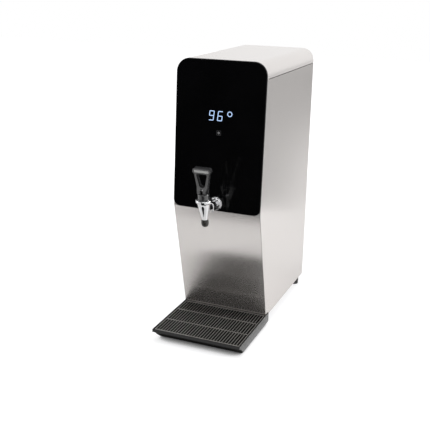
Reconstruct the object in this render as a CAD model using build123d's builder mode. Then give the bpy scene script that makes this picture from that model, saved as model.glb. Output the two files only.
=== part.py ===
"""Counter-top instant hot water dispenser, with a lever tap and a drip tray.

Millimetres, +Z up, +X to the right as seen from the front, and the front looks along -Y.
The origin is on the counter, in the middle of the whole object's length and width.
"""
import os
from math import cos, hypot, pi, radians, sin

from build123d import *

os.makedirs("parts", exist_ok=True)

# Driving dimensions of the casing
body_width = 210
body_top_z = 630
casing_bottom_z = 26
lid_skirt = 6
fold_rise = 271
top_depth = 348.8
fold_depth = 368.4
bottom_depth = 303
lid_radius = 30
sheet = 1.2

# Driving dimensions of what stands before and behind the casing
fascia_thickness = 4
tray_reach = 178
rear_reach = 16
tap_height_on_fascia = 17
tap_reach = 65
tap_lean_angle = 8
lever_travel_angle = 45

# Room round the tank, from the casing's outside to the tank's
tank_side_room = 27
tank_front_room = 32.3
tank_back_room = 76.5
tank_head_room = 60
tank_below_fold = 7
insulation = 16

# Clearances, and the overrun that cuts share
panel_gap = 0.3
seam_gap = 0.8
running_gap = 0.08
screw_gap = 0.2
overrun = 5

# Places that follow from the driving dimensions
overall_depth = rear_reach + bottom_depth + tray_reach
tray_front_y = -overall_depth / 2
back_y = overall_depth / 2 - rear_reach
bottom_front_y = back_y - bottom_depth
fold_y = back_y - fold_depth
top_front_y = back_y - top_depth
half_width = body_width / 2
inner_half = half_width - sheet
seam_z = body_top_z - lid_radius - lid_skirt
fold_z = casing_bottom_z + fold_rise
side_top_z = seam_z - seam_gap / 2
lid_bottom_z = seam_z + seam_gap / 2
lid_lip_z = body_top_z - lid_radius

# The tank keeps clear of the fold and of the front's top edge, whichever lies further back
tank_front_y = max(fold_y, top_front_y) + tank_front_room
tank_back_y = back_y - tank_back_room
tank_mid_y = (tank_front_y + tank_back_y) / 2
tank_depth = tank_back_y - tank_front_y
tank_width = body_width - 2 * tank_side_room
tank_bottom_z = fold_z - tank_below_fold
tank_top_z = body_top_z - tank_head_room
tank_height = tank_top_z - tank_bottom_z

# The upper front, where the fascia lies: x runs across, y climbs from the fold, z points outward
front_rise = body_top_z - fold_z
front_lean = top_front_y - fold_y
front_length = hypot(front_rise, front_lean)
front_plane = Plane(origin=(0, fold_y, fold_z), x_dir=(1, 0, 0), z_dir=(0, -front_rise, front_lean))


def front_y(z):
    """Y of the steel front at a height: out and down to the fold, then back in to the bottom."""
    if z >= fold_z:
        return fold_y + (z - fold_z) * front_lean / front_rise
    return bottom_front_y + (z - casing_bottom_z) * (fold_y - bottom_front_y) / (fold_z - casing_bottom_z)


# Side panels: flat sheets with folded edges for the back panel, the base and the lid
side_flange = 12
front_flange = 14
joggle_drop = 10
joggle_rise = 5
casing_screw_radius = 2
casing_screw_head_radius = 3.8
casing_screw_head = 2.2
casing_screw_length = 8
casing_screw_hole = casing_screw_radius + screw_gap
back_screw_x = inner_half - side_flange / 2
back_screw_shares = (0.04, 0.36, 0.68, 0.96)
back_screw_places = [
    (side * back_screw_x, casing_bottom_z + share * (side_top_z - casing_bottom_z))
    for side in (-1, 1)
    for share in back_screw_shares
]
flange_front_y = bottom_front_y + front_flange + panel_gap
flange_back_y = back_y - 2 * sheet - panel_gap
flange_mid_y = (flange_front_y + flange_back_y) / 2
flange_length = flange_back_y - flange_front_y
base_screw_y_shares = (-0.22, 0.22)
base_screw_places = [
    (side * back_screw_x, flange_mid_y + share * flange_length)
    for side in (-1, 1)
    for share in base_screw_y_shares
]


def side_panel(side):
    """One side of the casing, -1 on the left and 1 on the right."""
    joggle_ends = (side_top_z - joggle_drop, side_top_z + joggle_rise)
    joggle_front_y = max(front_y(z) for z in joggle_ends) + front_flange + panel_gap
    joggle_length = flange_back_y - joggle_front_y
    with BuildPart() as panel:
        with BuildSketch(Plane.YZ.offset(side * (inner_half + sheet / 2))):
            with BuildLine():
                Polyline(
                    (back_y, casing_bottom_z),
                    (back_y, side_top_z),
                    (front_y(side_top_z), side_top_z),
                    (fold_y, fold_z),
                    (bottom_front_y, casing_bottom_z),
                    close=True,
                )
            make_face()
        extrude(amount=sheet / 2, both=True)
        with BuildSketch(Plane.XZ.offset(sheet - back_y)):
            with Locations((side * back_screw_x, (casing_bottom_z + side_top_z) / 2)):
                Rectangle(side_flange, side_top_z - casing_bottom_z)
            with Locations(*[place for place in back_screw_places if place[0] * side > 0]):
                Circle(casing_screw_hole, mode=Mode.SUBTRACT)
        extrude(amount=sheet)
        with BuildSketch(Plane.XY.offset(casing_bottom_z)):
            with Locations((side * back_screw_x, flange_mid_y)):
                Rectangle(side_flange, flange_length)
            with Locations(*[place for place in base_screw_places if place[0] * side > 0]):
                Circle(casing_screw_hole, mode=Mode.SUBTRACT)
        extrude(amount=sheet)
        with BuildSketch(Plane.XY.offset(side_top_z - joggle_drop)):
            with Locations((side * (inner_half - sheet / 2), joggle_front_y + joggle_length / 2)):
                Rectangle(sheet, joggle_length)
        extrude(amount=joggle_drop + joggle_rise)
    return panel


left_side_panel = side_panel(-1)
left_side_panel.part.label = "left_side_panel"
export_step(left_side_panel.part, "parts/left_side_panel.step")

right_side_panel = side_panel(1)
right_side_panel.part.label = "right_side_panel"
export_step(right_side_panel.part, "parts/right_side_panel.step")

# Lid cover: one sheet with rounded long edges, closed at the back by a lip
lid_height = body_top_z - lid_bottom_z
lid_run = back_y - fold_y + overrun
lid_screw_distance = 90
lid_screw_rise = 7
lid_screw_z = lid_lip_z + lid_screw_rise

with BuildPart() as lid_cover:
    with BuildSketch(Plane.XZ.offset(-back_y)):
        with Locations((0, lid_bottom_z)):
            Rectangle(body_width, lid_height, align=(Align.CENTER, Align.MIN))
        fillet(vertices().group_by(Axis.Y)[-1], radius=lid_radius)
    extrude(amount=lid_run)
    with BuildSketch(Plane.XZ.offset(-back_y)):
        with Locations((0, lid_bottom_z)):
            Rectangle(2 * inner_half, lid_height - sheet, align=(Align.CENTER, Align.MIN))
        fillet(vertices().group_by(Axis.Y)[-1], radius=lid_radius - sheet)
    extrude(amount=lid_run, mode=Mode.SUBTRACT)
    with BuildSketch(Plane.XZ.offset(-back_y)):
        with Locations((0, lid_lip_z)):
            Rectangle(2 * inner_half, lid_radius - sheet, align=(Align.CENTER, Align.MIN))
        fillet(vertices().group_by(Axis.Y)[-1], radius=lid_radius - sheet - panel_gap)
        with Locations((-lid_screw_distance / 2, lid_screw_z), (lid_screw_distance / 2, lid_screw_z)):
            Circle(casing_screw_hole, mode=Mode.SUBTRACT)
    extrude(amount=sheet)
    split(bisect_by=front_plane, keep=Keep.BOTTOM)
lid_cover.part.label = "lid_cover"
export_step(lid_cover.part, "parts/lid_cover.step")

# Screws of the casing: button heads on shanks that run through clearance holes


def add_casing_screws():
    """Adds one screw at each location in force, its head above the plane and its shank below."""
    Cylinder(
        casing_screw_head_radius, casing_screw_head, align=(Align.CENTER, Align.CENTER, Align.MIN)
    )
    Cylinder(casing_screw_radius, casing_screw_length, align=(Align.CENTER, Align.CENTER, Align.MAX))


rear_face_plane = Plane(origin=(0, back_y, 0), x_dir=(-1, 0, 0), z_dir=(0, 1, 0))

with BuildPart() as lid_screws:
    with Locations(rear_face_plane):
        with Locations((-lid_screw_distance / 2, lid_screw_z), (lid_screw_distance / 2, lid_screw_z)):
            add_casing_screws()
lid_screws.part.label = "lid_screws"
export_step(lid_screws.part, "parts/lid_screws.step")

with BuildPart() as back_screws:
    with Locations(rear_face_plane):
        with Locations(*back_screw_places):
            add_casing_screws()
back_screws.part.label = "back_screws"
export_step(back_screws.part, "parts/back_screws.step")

# Front sheet: one piece folded at the fold line, with an edge turned back along each side
window_width = 84
window_height = 74
window_drop = 137.5
window_middle = front_length - window_drop
shank_radius = 9
shank_hole = shank_radius + screw_gap

with BuildPart() as front_panel:
    with BuildSketch(Plane.YZ):
        with BuildLine():
            Polyline(
                (bottom_front_y, casing_bottom_z),
                (fold_y, fold_z),
                (top_front_y, body_top_z),
                (top_front_y + front_flange, body_top_z),
                (fold_y + front_flange, fold_z),
                (bottom_front_y + front_flange, casing_bottom_z),
                close=True,
            )
        make_face()
    extrude(amount=inner_half, both=True)
    with BuildSketch(Plane.YZ):
        with BuildLine():
            Polyline(
                (front_y(casing_bottom_z - overrun) + sheet, casing_bottom_z - overrun),
                (fold_y + sheet, fold_z),
                (front_y(body_top_z + overrun) + sheet, body_top_z + overrun),
                (top_front_y + front_flange + overrun, body_top_z + overrun),
                (fold_y + front_flange + overrun, fold_z),
                (bottom_front_y + front_flange + overrun, casing_bottom_z - overrun),
                close=True,
            )
        make_face()
    extrude(amount=inner_half - sheet, both=True, mode=Mode.SUBTRACT)
    with BuildSketch(Plane.XZ):
        with Locations((0, casing_bottom_z)):
            Rectangle(
                2 * inner_half,
                body_top_z - sheet - panel_gap - casing_bottom_z,
                align=(Align.CENTER, Align.MIN),
            )
        fillet(vertices().group_by(Axis.Y)[-1], radius=lid_radius - sheet)
    extrude(amount=overall_depth, both=True, mode=Mode.INTERSECT)
    with BuildSketch(front_plane):
        with Locations((0, tap_height_on_fascia)):
            Circle(shank_hole)
        with Locations((0, window_middle)):
            Rectangle(window_width, window_height)
    extrude(amount=front_flange, both=True, mode=Mode.SUBTRACT)
front_panel.part.label = "front_panel"
export_step(front_panel.part, "parts/front_panel.step")

# Fascia: black glass as wide as the casing, with the lid's large corners at the top
fascia_foot_radius = 12
fascia_edge = 0.7
fascia_height = front_length - fascia_thickness * front_lean / front_rise

with BuildPart() as front_fascia:
    with BuildSketch(front_plane):
        Rectangle(body_width, fascia_height, align=(Align.CENTER, Align.MIN))
        fillet(vertices().group_by(Axis.Y)[-1], radius=lid_radius)
        fillet(vertices().group_by(Axis.Y)[0], radius=fascia_foot_radius)
    extrude(amount=fascia_thickness)
    chamfer(faces().sort_by(Axis((0, 0, 0), front_plane.z_dir))[-1].edges(), length=fascia_edge)
    with BuildSketch(front_plane):
        with Locations((0, tap_height_on_fascia)):
            Circle(shank_hole)
    extrude(amount=fascia_thickness, mode=Mode.SUBTRACT)
front_fascia.part.label = "front_fascia"
export_step(front_fascia.part, "parts/front_fascia.step")

# Display: a lamp block behind the fascia on a board that stands off the front sheet
board_thickness = 1.6
display_board_width = 104
display_board_height = 92
display_standoff = 9
standoff_radius = 3
display_standoff_distance = 94
display_standoff_rise = 82
display_block_width = 66
display_block_height = 32
display_block_above_middle = 15
touch_pad_radius = 8
touch_pad_below_middle = 21
board_face = display_standoff

with BuildPart() as display_standoffs:
    with BuildSketch(front_plane.offset(-sheet)):
        with Locations((0, window_middle)):
            with GridLocations(display_standoff_distance, display_standoff_rise, 2, 2):
                Circle(standoff_radius)
    extrude(amount=sheet - board_face)
display_standoffs.part.label = "display_standoffs"
export_step(display_standoffs.part, "parts/display_standoffs.step")

with BuildPart() as display_board:
    with BuildSketch(front_plane.offset(-board_face)):
        with Locations((0, window_middle)):
            Rectangle(display_board_width, display_board_height)
    extrude(amount=-board_thickness)
    chip_size = 14
    chip_height = 3
    with BuildSketch(front_plane.offset(-board_face - board_thickness)):
        with Locations((0, window_middle)):
            with GridLocations(2 * chip_size, 2 * chip_size, 2, 2):
                Rectangle(chip_size, chip_size)
    extrude(amount=-chip_height)
display_board.part.label = "display_board"
export_step(display_board.part, "parts/display_board.step")

with BuildPart() as display_block:
    with BuildSketch(front_plane):
        with Locations((0, window_middle + display_block_above_middle)):
            Rectangle(display_block_width, display_block_height)
    extrude(amount=-board_face)
display_block.part.label = "display_block"
export_step(display_block.part, "parts/display_block.step")

with BuildPart() as touch_pad:
    with BuildSketch(front_plane):
        with Locations((0, window_middle - touch_pad_below_middle)):
            Circle(touch_pad_radius)
    extrude(amount=-board_face)
touch_pad.part.label = "touch_pad"
export_step(touch_pad.part, "parts/touch_pad.step")

# Back panel: flat sheet between the sides, with vents and the holes that the fittings need
back_top_z = lid_lip_z - panel_gap
back_width = 2 * (inner_half - panel_gap)
back_tab_width = 120
back_tab_height = 26
vent_length = 46
vent_width = 4
vent_distance = 60
vent_step = 9
vent_rows = 6
vent_columns = 2
lower_vent_rise = 164
upper_vent_drop = 90
lower_vent_z = casing_bottom_z + lower_vent_rise
upper_vent_z = body_top_z - upper_vent_drop
inlet_inset = 50
inlet_rise = 56
inlet_x = inlet_inset - half_width
inlet_z = casing_bottom_z + inlet_rise
inlet_thread_radius = 13.2
inlet_hole = inlet_thread_radius + panel_gap
inlet_neck = 1.5
inlet_neck_radius = 12.4
overflow_inset = 63
overflow_rise = 34
overflow_x = half_width - overflow_inset
overflow_z = casing_bottom_z + overflow_rise
pipe_radius = 6
pipe_wall = 1.8
pipe_hole = pipe_radius + panel_gap
gland_inset = 29
gland_rise = 36
gland_x = half_width - gland_inset
gland_z = casing_bottom_z + gland_rise
gland_thread_radius = 8
gland_hole = gland_thread_radius + screw_gap

with BuildPart() as back_panel:
    with BuildSketch(Plane.XZ.offset(-back_y)):
        with Locations((0, casing_bottom_z)):
            Rectangle(back_width, back_top_z - casing_bottom_z, align=(Align.CENTER, Align.MIN))
        with Locations((0, lower_vent_z), (0, upper_vent_z)):
            with GridLocations(vent_distance, vent_step, vent_columns, vent_rows):
                SlotOverall(vent_length, vent_width, mode=Mode.SUBTRACT)
        with Locations((inlet_x, inlet_z)):
            Circle(inlet_hole, mode=Mode.SUBTRACT)
        with Locations((overflow_x, overflow_z)):
            Circle(pipe_hole, mode=Mode.SUBTRACT)
        with Locations((gland_x, gland_z)):
            Circle(gland_hole, mode=Mode.SUBTRACT)
        with Locations(*back_screw_places):
            Circle(casing_screw_hole, mode=Mode.SUBTRACT)
    extrude(amount=sheet)
    with BuildSketch(Plane.XZ.offset(sheet - back_y)):
        with Locations((0, back_top_z)):
            Rectangle(back_tab_width, back_tab_height)
        with Locations((-lid_screw_distance / 2, lid_screw_z), (lid_screw_distance / 2, lid_screw_z)):
            Circle(casing_screw_hole, mode=Mode.SUBTRACT)
    extrude(amount=sheet)
back_panel.part.label = "back_panel"
export_step(back_panel.part, "parts/back_panel.step")

# Base: the chassis plate that lies on the side panels' bottom edges
base_sheet = 1.5
base_bottom_z = casing_bottom_z + sheet
base_top_z = base_bottom_z + base_sheet
base_rim = 15
base_half = inner_half - sheet - panel_gap
base_front_y = front_y(base_bottom_z) + sheet + panel_gap
base_back_y = back_y - 2 * sheet - panel_gap
base_length = base_back_y - base_front_y
foot_inset = 17
rear_foot_inset = 15.5
front_foot_inset = 37
foot_places = [
    (side * (half_width - foot_inset), y)
    for side in (-1, 1)
    for y in (bottom_front_y + front_foot_inset, back_y - rear_foot_inset)
]
foot_bolt_radius = 3
foot_bolt_hole = foot_bolt_radius + panel_gap

with BuildPart() as base_plate:
    with BuildSketch(Plane.XY.offset(base_bottom_z)):
        with Locations((0, base_front_y + base_length / 2)):
            Rectangle(2 * base_half, base_length)
    extrude(amount=base_rim)
    with BuildSketch(Plane.XY.offset(base_top_z)):
        with Locations((0, base_front_y + base_length / 2)):
            Rectangle(2 * (base_half - base_sheet), base_length + 2 * overrun)
    extrude(amount=base_rim, mode=Mode.SUBTRACT)
    with BuildSketch(Plane.XY.offset(base_bottom_z)):
        with Locations(*foot_places):
            Circle(foot_bolt_hole)
        with Locations(*base_screw_places):
            Circle(casing_screw_hole)
        with Locations((0, flange_mid_y)):
            with GridLocations(vent_distance, vent_step, vent_columns, vent_rows):
                SlotOverall(vent_length, vent_width)
    extrude(amount=base_sheet, mode=Mode.SUBTRACT)
base_plate.part.label = "base_plate"
export_step(base_plate.part, "parts/base_plate.step")

casing_underside = Plane(origin=(0, 0, casing_bottom_z), x_dir=(1, 0, 0), z_dir=(0, 0, -1))

with BuildPart() as base_screws:
    with Locations(casing_underside):
        with Locations(*[(x, -y) for x, y in base_screw_places]):
            add_casing_screws()
base_screws.part.label = "base_screws"
export_step(base_screws.part, "parts/base_screws.step")

# Feet: rubber cones under the corners, each with a bolt up through the base
foot_top_radius = 12
foot_bottom_radius = 10.5
foot_recess_radius = 6.5
foot_recess = 14
foot_bolt_head_radius = 5.5
foot_bolt_head = 4
foot_nut = 5

with BuildPart() as rubber_feet:
    with Locations(*[(x, y, 0) for x, y in foot_places]):
        Cone(
            foot_bottom_radius,
            foot_top_radius,
            casing_bottom_z,
            align=(Align.CENTER, Align.CENTER, Align.MIN),
        )
        Cylinder(
            foot_bolt_hole,
            casing_bottom_z,
            align=(Align.CENTER, Align.CENTER, Align.MIN),
            mode=Mode.SUBTRACT,
        )
        Cylinder(
            foot_recess_radius,
            foot_recess,
            align=(Align.CENTER, Align.CENTER, Align.MIN),
            mode=Mode.SUBTRACT,
        )
rubber_feet.part.label = "rubber_feet"
export_step(rubber_feet.part, "parts/rubber_feet.step")

with BuildPart() as foot_bolts:
    with Locations(*[(x, y, foot_recess) for x, y in foot_places]):
        Cylinder(
            foot_bolt_head_radius, foot_bolt_head, align=(Align.CENTER, Align.CENTER, Align.MAX)
        )
        Cylinder(
            foot_bolt_radius,
            base_top_z + foot_nut - foot_recess,
            align=(Align.CENTER, Align.CENTER, Align.MIN),
        )
    with BuildSketch(Plane.XY.offset(base_top_z)):
        with Locations(*foot_places):
            RegularPolygon(foot_bolt_head_radius, 6)
    extrude(amount=foot_nut)
foot_bolts.part.label = "foot_bolts"
export_step(foot_bolts.part, "parts/foot_bolts.step")

# Shelf that carries the tank, with its edges folded down against the sides
shelf_sheet = 1.5
shelf_edge = 18
shelf_back_gap = 4
jacket_gap = 0.3
shelf_top_z = tank_bottom_z - insulation
shelf_front_y = front_y(shelf_top_z - shelf_edge) + front_flange + panel_gap
shelf_back_y = tank_back_y + jacket_gap + insulation + shelf_back_gap
shelf_length = shelf_back_y - shelf_front_y

with BuildPart() as tank_shelf:
    with BuildSketch(Plane.XY.offset(shelf_top_z)):
        with Locations((0, shelf_front_y + shelf_length / 2)):
            Rectangle(2 * inner_half, shelf_length)
    extrude(amount=-shelf_edge)
    with BuildSketch(Plane.XY.offset(shelf_top_z - shelf_sheet)):
        with Locations((0, shelf_front_y + shelf_length / 2)):
            Rectangle(2 * (inner_half - shelf_sheet), shelf_length + 2 * overrun)
    extrude(amount=-shelf_edge, mode=Mode.SUBTRACT)
tank_shelf.part.label = "tank_shelf"
export_step(tank_shelf.part, "parts/tank_shelf.step")

# Tank: a deep box of stainless sheet, open at the top, with a rim for its lid
tank_wall = 1.2
tank_corner = 20
tank_rim = 12
element_rise = 22
element_z = tank_bottom_z + element_rise
element_plug_radius = 16
spigot_radius = 8
spigot_bore = 5.5
spigot_start = 22
shank_plane = Plane(
    origin=front_plane.from_local_coords((0, tap_height_on_fascia, 0)),
    x_dir=(1, 0, 0),
    z_dir=front_plane.z_dir,
)
spigot_inside = 3.6
spigot_end = (tank_front_y - shank_plane.origin.Y) / -front_plane.z_dir.Y + spigot_inside
tank_bolt_radius = 2.5
tank_bolt_hole = tank_bolt_radius + screw_gap
side_bolt_share = 0.33
end_bolt_share = 0.25
side_bolt_x = (tank_width + tank_rim) / 2
end_bolt_y = (tank_depth + tank_rim) / 2
tank_bolt_places = [
    (side * side_bolt_x, tank_mid_y + row * side_bolt_share * tank_depth)
    for side in (-1, 1)
    for row in (-1, 0, 1)
] + [
    (column * end_bolt_share * tank_width, tank_mid_y + end * end_bolt_y)
    for end in (-1, 1)
    for column in (-1, 1)
]

with BuildPart() as tank_shell:
    with BuildSketch(Plane.XY.offset(tank_bottom_z)):
        with Locations((0, tank_mid_y)):
            RectangleRounded(tank_width, tank_depth, tank_corner)
    extrude(amount=tank_height)
    with BuildSketch(Plane.XY.offset(tank_top_z)):
        with Locations((0, tank_mid_y)):
            RectangleRounded(tank_width + 2 * tank_rim, tank_depth + 2 * tank_rim, tank_corner + tank_rim)
    extrude(amount=-tank_wall)
    with BuildSketch(Plane.XY.offset(tank_bottom_z + tank_wall)):
        with Locations((0, tank_mid_y)):
            RectangleRounded(
                tank_width - 2 * tank_wall, tank_depth - 2 * tank_wall, tank_corner - tank_wall
            )
    extrude(amount=tank_height, mode=Mode.SUBTRACT)
    with BuildSketch(shank_plane.offset(-spigot_start)):
        Circle(spigot_radius)
    extrude(amount=spigot_start - spigot_end)
    with BuildSketch(shank_plane.offset(-spigot_start)):
        Circle(spigot_bore)
    extrude(amount=spigot_start - spigot_end - overrun, mode=Mode.SUBTRACT)
    with BuildSketch(Plane.XZ.offset(-tank_back_y - overrun)):
        with Locations((0, element_z)):
            Circle(element_plug_radius + screw_gap)
    extrude(amount=2 * overrun, mode=Mode.SUBTRACT)
    with BuildSketch(Plane.XY.offset(tank_top_z)):
        with Locations(*tank_bolt_places):
            Circle(tank_bolt_hole)
    extrude(amount=-tank_wall, mode=Mode.SUBTRACT)
tank_shell.part.label = "tank_shell"
export_step(tank_shell.part, "parts/tank_shell.step")

# Gasket and lid of the tank, and the bolts that clamp them to the rim
gasket_thickness = 2
tank_lid_thickness = 2
boss_radius = 10
boss_height = 16
pipe_seat = 6
pipe_bore = pipe_radius - pipe_wall
socket_bore = pipe_radius + running_gap
pipe_inset = 38
probe_offset = 26
sensor_offset = 26
sensor_x_share = 0.19
fill_tank_y = tank_back_y - pipe_inset
overflow_tank_y = fill_tank_y
probe_y = tank_mid_y - probe_offset
sensor_x = sensor_x_share * tank_width
sensor_y = tank_mid_y + sensor_offset
probe_plug_radius = 10
sensor_radius = 3
sensor_thread_radius = 6
gasket_top_z = tank_top_z + gasket_thickness
tank_lid_top_z = gasket_top_z + tank_lid_thickness
boss_top_z = tank_lid_top_z + boss_height
pipe_end_z = tank_lid_top_z + pipe_seat
boss_places = [(inlet_x, fill_tank_y), (overflow_x, overflow_tank_y)]

with BuildPart() as tank_gasket:
    with BuildSketch(Plane.XY.offset(tank_top_z)):
        with Locations((0, tank_mid_y)):
            RectangleRounded(tank_width + 2 * tank_rim, tank_depth + 2 * tank_rim, tank_corner + tank_rim)
            RectangleRounded(tank_width, tank_depth, tank_corner, mode=Mode.SUBTRACT)
        with Locations(*tank_bolt_places):
            Circle(tank_bolt_hole, mode=Mode.SUBTRACT)
    extrude(amount=gasket_thickness)
tank_gasket.part.label = "tank_gasket"
export_step(tank_gasket.part, "parts/tank_gasket.step")

with BuildPart() as tank_lid:
    with BuildSketch(Plane.XY.offset(gasket_top_z)):
        with Locations((0, tank_mid_y)):
            RectangleRounded(tank_width + 2 * tank_rim, tank_depth + 2 * tank_rim, tank_corner + tank_rim)
        with Locations(*tank_bolt_places):
            Circle(tank_bolt_hole, mode=Mode.SUBTRACT)
        with Locations((0, probe_y)):
            Circle(probe_plug_radius + screw_gap, mode=Mode.SUBTRACT)
        with Locations((sensor_x, sensor_y)):
            Circle(sensor_thread_radius + screw_gap, mode=Mode.SUBTRACT)
    extrude(amount=tank_lid_thickness)
    with BuildSketch(Plane.XY.offset(tank_lid_top_z)):
        with Locations(*boss_places):
            Circle(boss_radius)
    extrude(amount=boss_height)
    with BuildSketch(Plane.XY.offset(pipe_end_z)):
        with Locations(*boss_places):
            Circle(socket_bore)
    extrude(amount=boss_height, mode=Mode.SUBTRACT)
    with BuildSketch(Plane.XY.offset(gasket_top_z)):
        with Locations(*boss_places):
            Circle(pipe_bore)
    extrude(amount=boss_height, mode=Mode.SUBTRACT)
tank_lid.part.label = "tank_lid"
export_step(tank_lid.part, "parts/tank_lid.step")

tank_bolt_head_radius = 4.4
tank_bolt_head = 3.2
tank_bolt_tail = 6

with BuildPart() as tank_bolts:
    with BuildSketch(Plane.XY.offset(tank_lid_top_z)):
        with Locations(*tank_bolt_places):
            RegularPolygon(tank_bolt_head_radius, 6)
    extrude(amount=tank_bolt_head)
    with BuildSketch(Plane.XY.offset(tank_lid_top_z)):
        with Locations(*tank_bolt_places):
            Circle(tank_bolt_radius)
    extrude(amount=tank_top_z - tank_wall - tank_bolt_tail - tank_lid_top_z)
tank_bolts.part.label = "tank_bolts"
export_step(tank_bolts.part, "parts/tank_bolts.step")

with BuildPart() as tank_nuts:
    with BuildSketch(Plane.XY.offset(tank_top_z - tank_wall)):
        with Locations(*tank_bolt_places):
            RegularPolygon(tank_bolt_head_radius, 6)
            Circle(tank_bolt_radius + running_gap, mode=Mode.SUBTRACT)
    extrude(amount=-tank_bolt_head)
tank_nuts.part.label = "tank_nuts"
export_step(tank_nuts.part, "parts/tank_nuts.step")

# Insulation: a foam box round the tank, standing on the shelf
jacket_top_z = tank_top_z - tank_wall - tank_bolt_tail - jacket_gap
element_head_radius = 20
outlet_hole = spigot_radius + jacket_gap
element_hole = element_head_radius + jacket_gap

with BuildPart() as insulation_jacket:
    with BuildSketch(Plane.XY.offset(shelf_top_z)):
        with Locations((0, tank_mid_y)):
            RectangleRounded(
                tank_width + 2 * (jacket_gap + insulation),
                tank_depth + 2 * (jacket_gap + insulation),
                tank_corner + jacket_gap + insulation,
            )
    extrude(amount=jacket_top_z - shelf_top_z)
    with BuildSketch(Plane.XY.offset(tank_bottom_z)):
        with Locations((0, tank_mid_y)):
            RectangleRounded(
                tank_width + 2 * jacket_gap, tank_depth + 2 * jacket_gap, tank_corner + jacket_gap
            )
    extrude(amount=tank_height, mode=Mode.SUBTRACT)
    with BuildSketch(shank_plane):
        Circle(outlet_hole)
    extrude(amount=-spigot_end, mode=Mode.SUBTRACT)
    with BuildSketch(Plane.XZ.offset(-tank_back_y)):
        with Locations((0, element_z)):
            Circle(element_hole)
    extrude(amount=-2 * insulation, mode=Mode.SUBTRACT)
insulation_jacket.part.label = "insulation_jacket"
export_step(insulation_jacket.part, "parts/insulation_jacket.step")

# Heating element: two hairpin rods brazed into a plug in the tank's back wall
element_rod_radius = 4
element_half_distance = 8
element_half_rise = 7
element_reach = 190
element_seal = 1.5
element_head = 11
element_post_radius = 2
element_post = 9
element_plug_inside = 6
element_head_y = tank_back_y + element_seal
element_tip_y = tank_back_y - element_reach
element_bend_y = element_tip_y + element_half_distance

with BuildPart() as heating_element:
    for level in (-element_half_rise, element_half_rise):
        with BuildLine() as hairpin:
            Line(
                (-element_half_distance, tank_back_y, element_z + level),
                (-element_half_distance, element_bend_y, element_z + level),
            )
            ThreePointArc(
                (-element_half_distance, element_bend_y, element_z + level),
                (0, element_tip_y, element_z + level),
                (element_half_distance, element_bend_y, element_z + level),
            )
            Line(
                (element_half_distance, element_bend_y, element_z + level),
                (element_half_distance, tank_back_y, element_z + level),
            )
        with BuildSketch(Plane(origin=hairpin.line @ 0, z_dir=hairpin.line % 0)):
            Circle(element_rod_radius)
        sweep(path=hairpin.line)
    with BuildSketch(Plane.XZ.offset(element_plug_inside - tank_back_y)):
        with Locations((0, element_z)):
            Circle(element_plug_radius)
    extrude(amount=-element_plug_inside - element_seal)
    with BuildSketch(Plane.XZ.offset(-element_head_y)):
        with Locations((0, element_z)):
            RegularPolygon(element_head_radius, 6)
    extrude(amount=-element_head)
    with BuildSketch(Plane.XZ.offset(-element_head_y - element_head)):
        with Locations((0, element_z)):
            with GridLocations(2 * element_half_distance, 2 * element_half_rise, 2, 2):
                Circle(element_post_radius)
    extrude(amount=-element_post)
heating_element.part.label = "heating_element"
export_step(heating_element.part, "parts/heating_element.step")

with BuildPart() as element_seal_ring:
    with BuildSketch(Plane.XZ.offset(-tank_back_y)):
        with Locations((0, element_z)):
            Circle(element_head_radius)
            Circle(element_plug_radius + screw_gap, mode=Mode.SUBTRACT)
    extrude(amount=-element_seal)
element_seal_ring.part.label = "element_seal_ring"
export_step(element_seal_ring.part, "parts/element_seal_ring.step")

# Level probes: three rods of unequal length in one plug on the tank's lid
probe_flange_radius = 14
probe_flange = 10
probe_rod_radius = 1.5
probe_circle_radius = 6
probe_terminal = 7
probe_plug_depth = 8
probe_reach_share = 0.215
probe_step_share = 0.268
probe_reach = probe_reach_share * tank_height
probe_step = probe_step_share * tank_height
probe_count = 3
probe_top_z = tank_lid_top_z + probe_flange + probe_terminal

with BuildPart() as level_probes:
    with BuildSketch(Plane.XY.offset(tank_lid_top_z)):
        with Locations((0, probe_y)):
            Circle(probe_flange_radius)
    extrude(amount=probe_flange)
    with BuildSketch(Plane.XY.offset(tank_lid_top_z)):
        with Locations((0, probe_y)):
            Circle(probe_plug_radius)
    extrude(amount=-probe_plug_depth)
    for rod in range(probe_count):
        turn = 2 * pi * rod / probe_count
        rod_x = probe_circle_radius * cos(turn)
        rod_y = probe_y + probe_circle_radius * sin(turn)
        with Locations((rod_x, rod_y, probe_top_z)):
            Cylinder(
                probe_rod_radius,
                probe_reach + rod * probe_step,
                align=(Align.CENTER, Align.CENTER, Align.MAX),
            )
level_probes.part.label = "level_probes"
export_step(level_probes.part, "parts/level_probes.step")

# Temperature sensor in its pocket, and the overheat cut-out clipped to the tank's lid
sensor_reach_share = 0.536
sensor_reach = sensor_reach_share * tank_height
sensor_head_radius = 8
sensor_head = 6
cutout_x_share = -0.22
cutout_offset = 8
cutout_x = cutout_x_share * tank_width
cutout_y = tank_mid_y + cutout_offset
cutout_radius = 12
cutout_height = 9
cutout_flange_radius = 15
cutout_flange = 1.5
cutout_tab_width = 6
cutout_tab_thickness = 0.8
cutout_tab_height = 8
cutout_tab_distance = 12

with BuildPart() as temperature_sensor:
    with Locations((sensor_x, sensor_y, tank_lid_top_z)):
        Cylinder(sensor_thread_radius, probe_plug_depth, align=(Align.CENTER, Align.CENTER, Align.MAX))
        Cylinder(sensor_radius, sensor_reach, align=(Align.CENTER, Align.CENTER, Align.MAX))
    with BuildSketch(Plane.XY.offset(tank_lid_top_z)):
        with Locations((sensor_x, sensor_y)):
            RegularPolygon(sensor_head_radius, 6)
    extrude(amount=sensor_head)
temperature_sensor.part.label = "temperature_sensor"
export_step(temperature_sensor.part, "parts/temperature_sensor.step")

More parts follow.
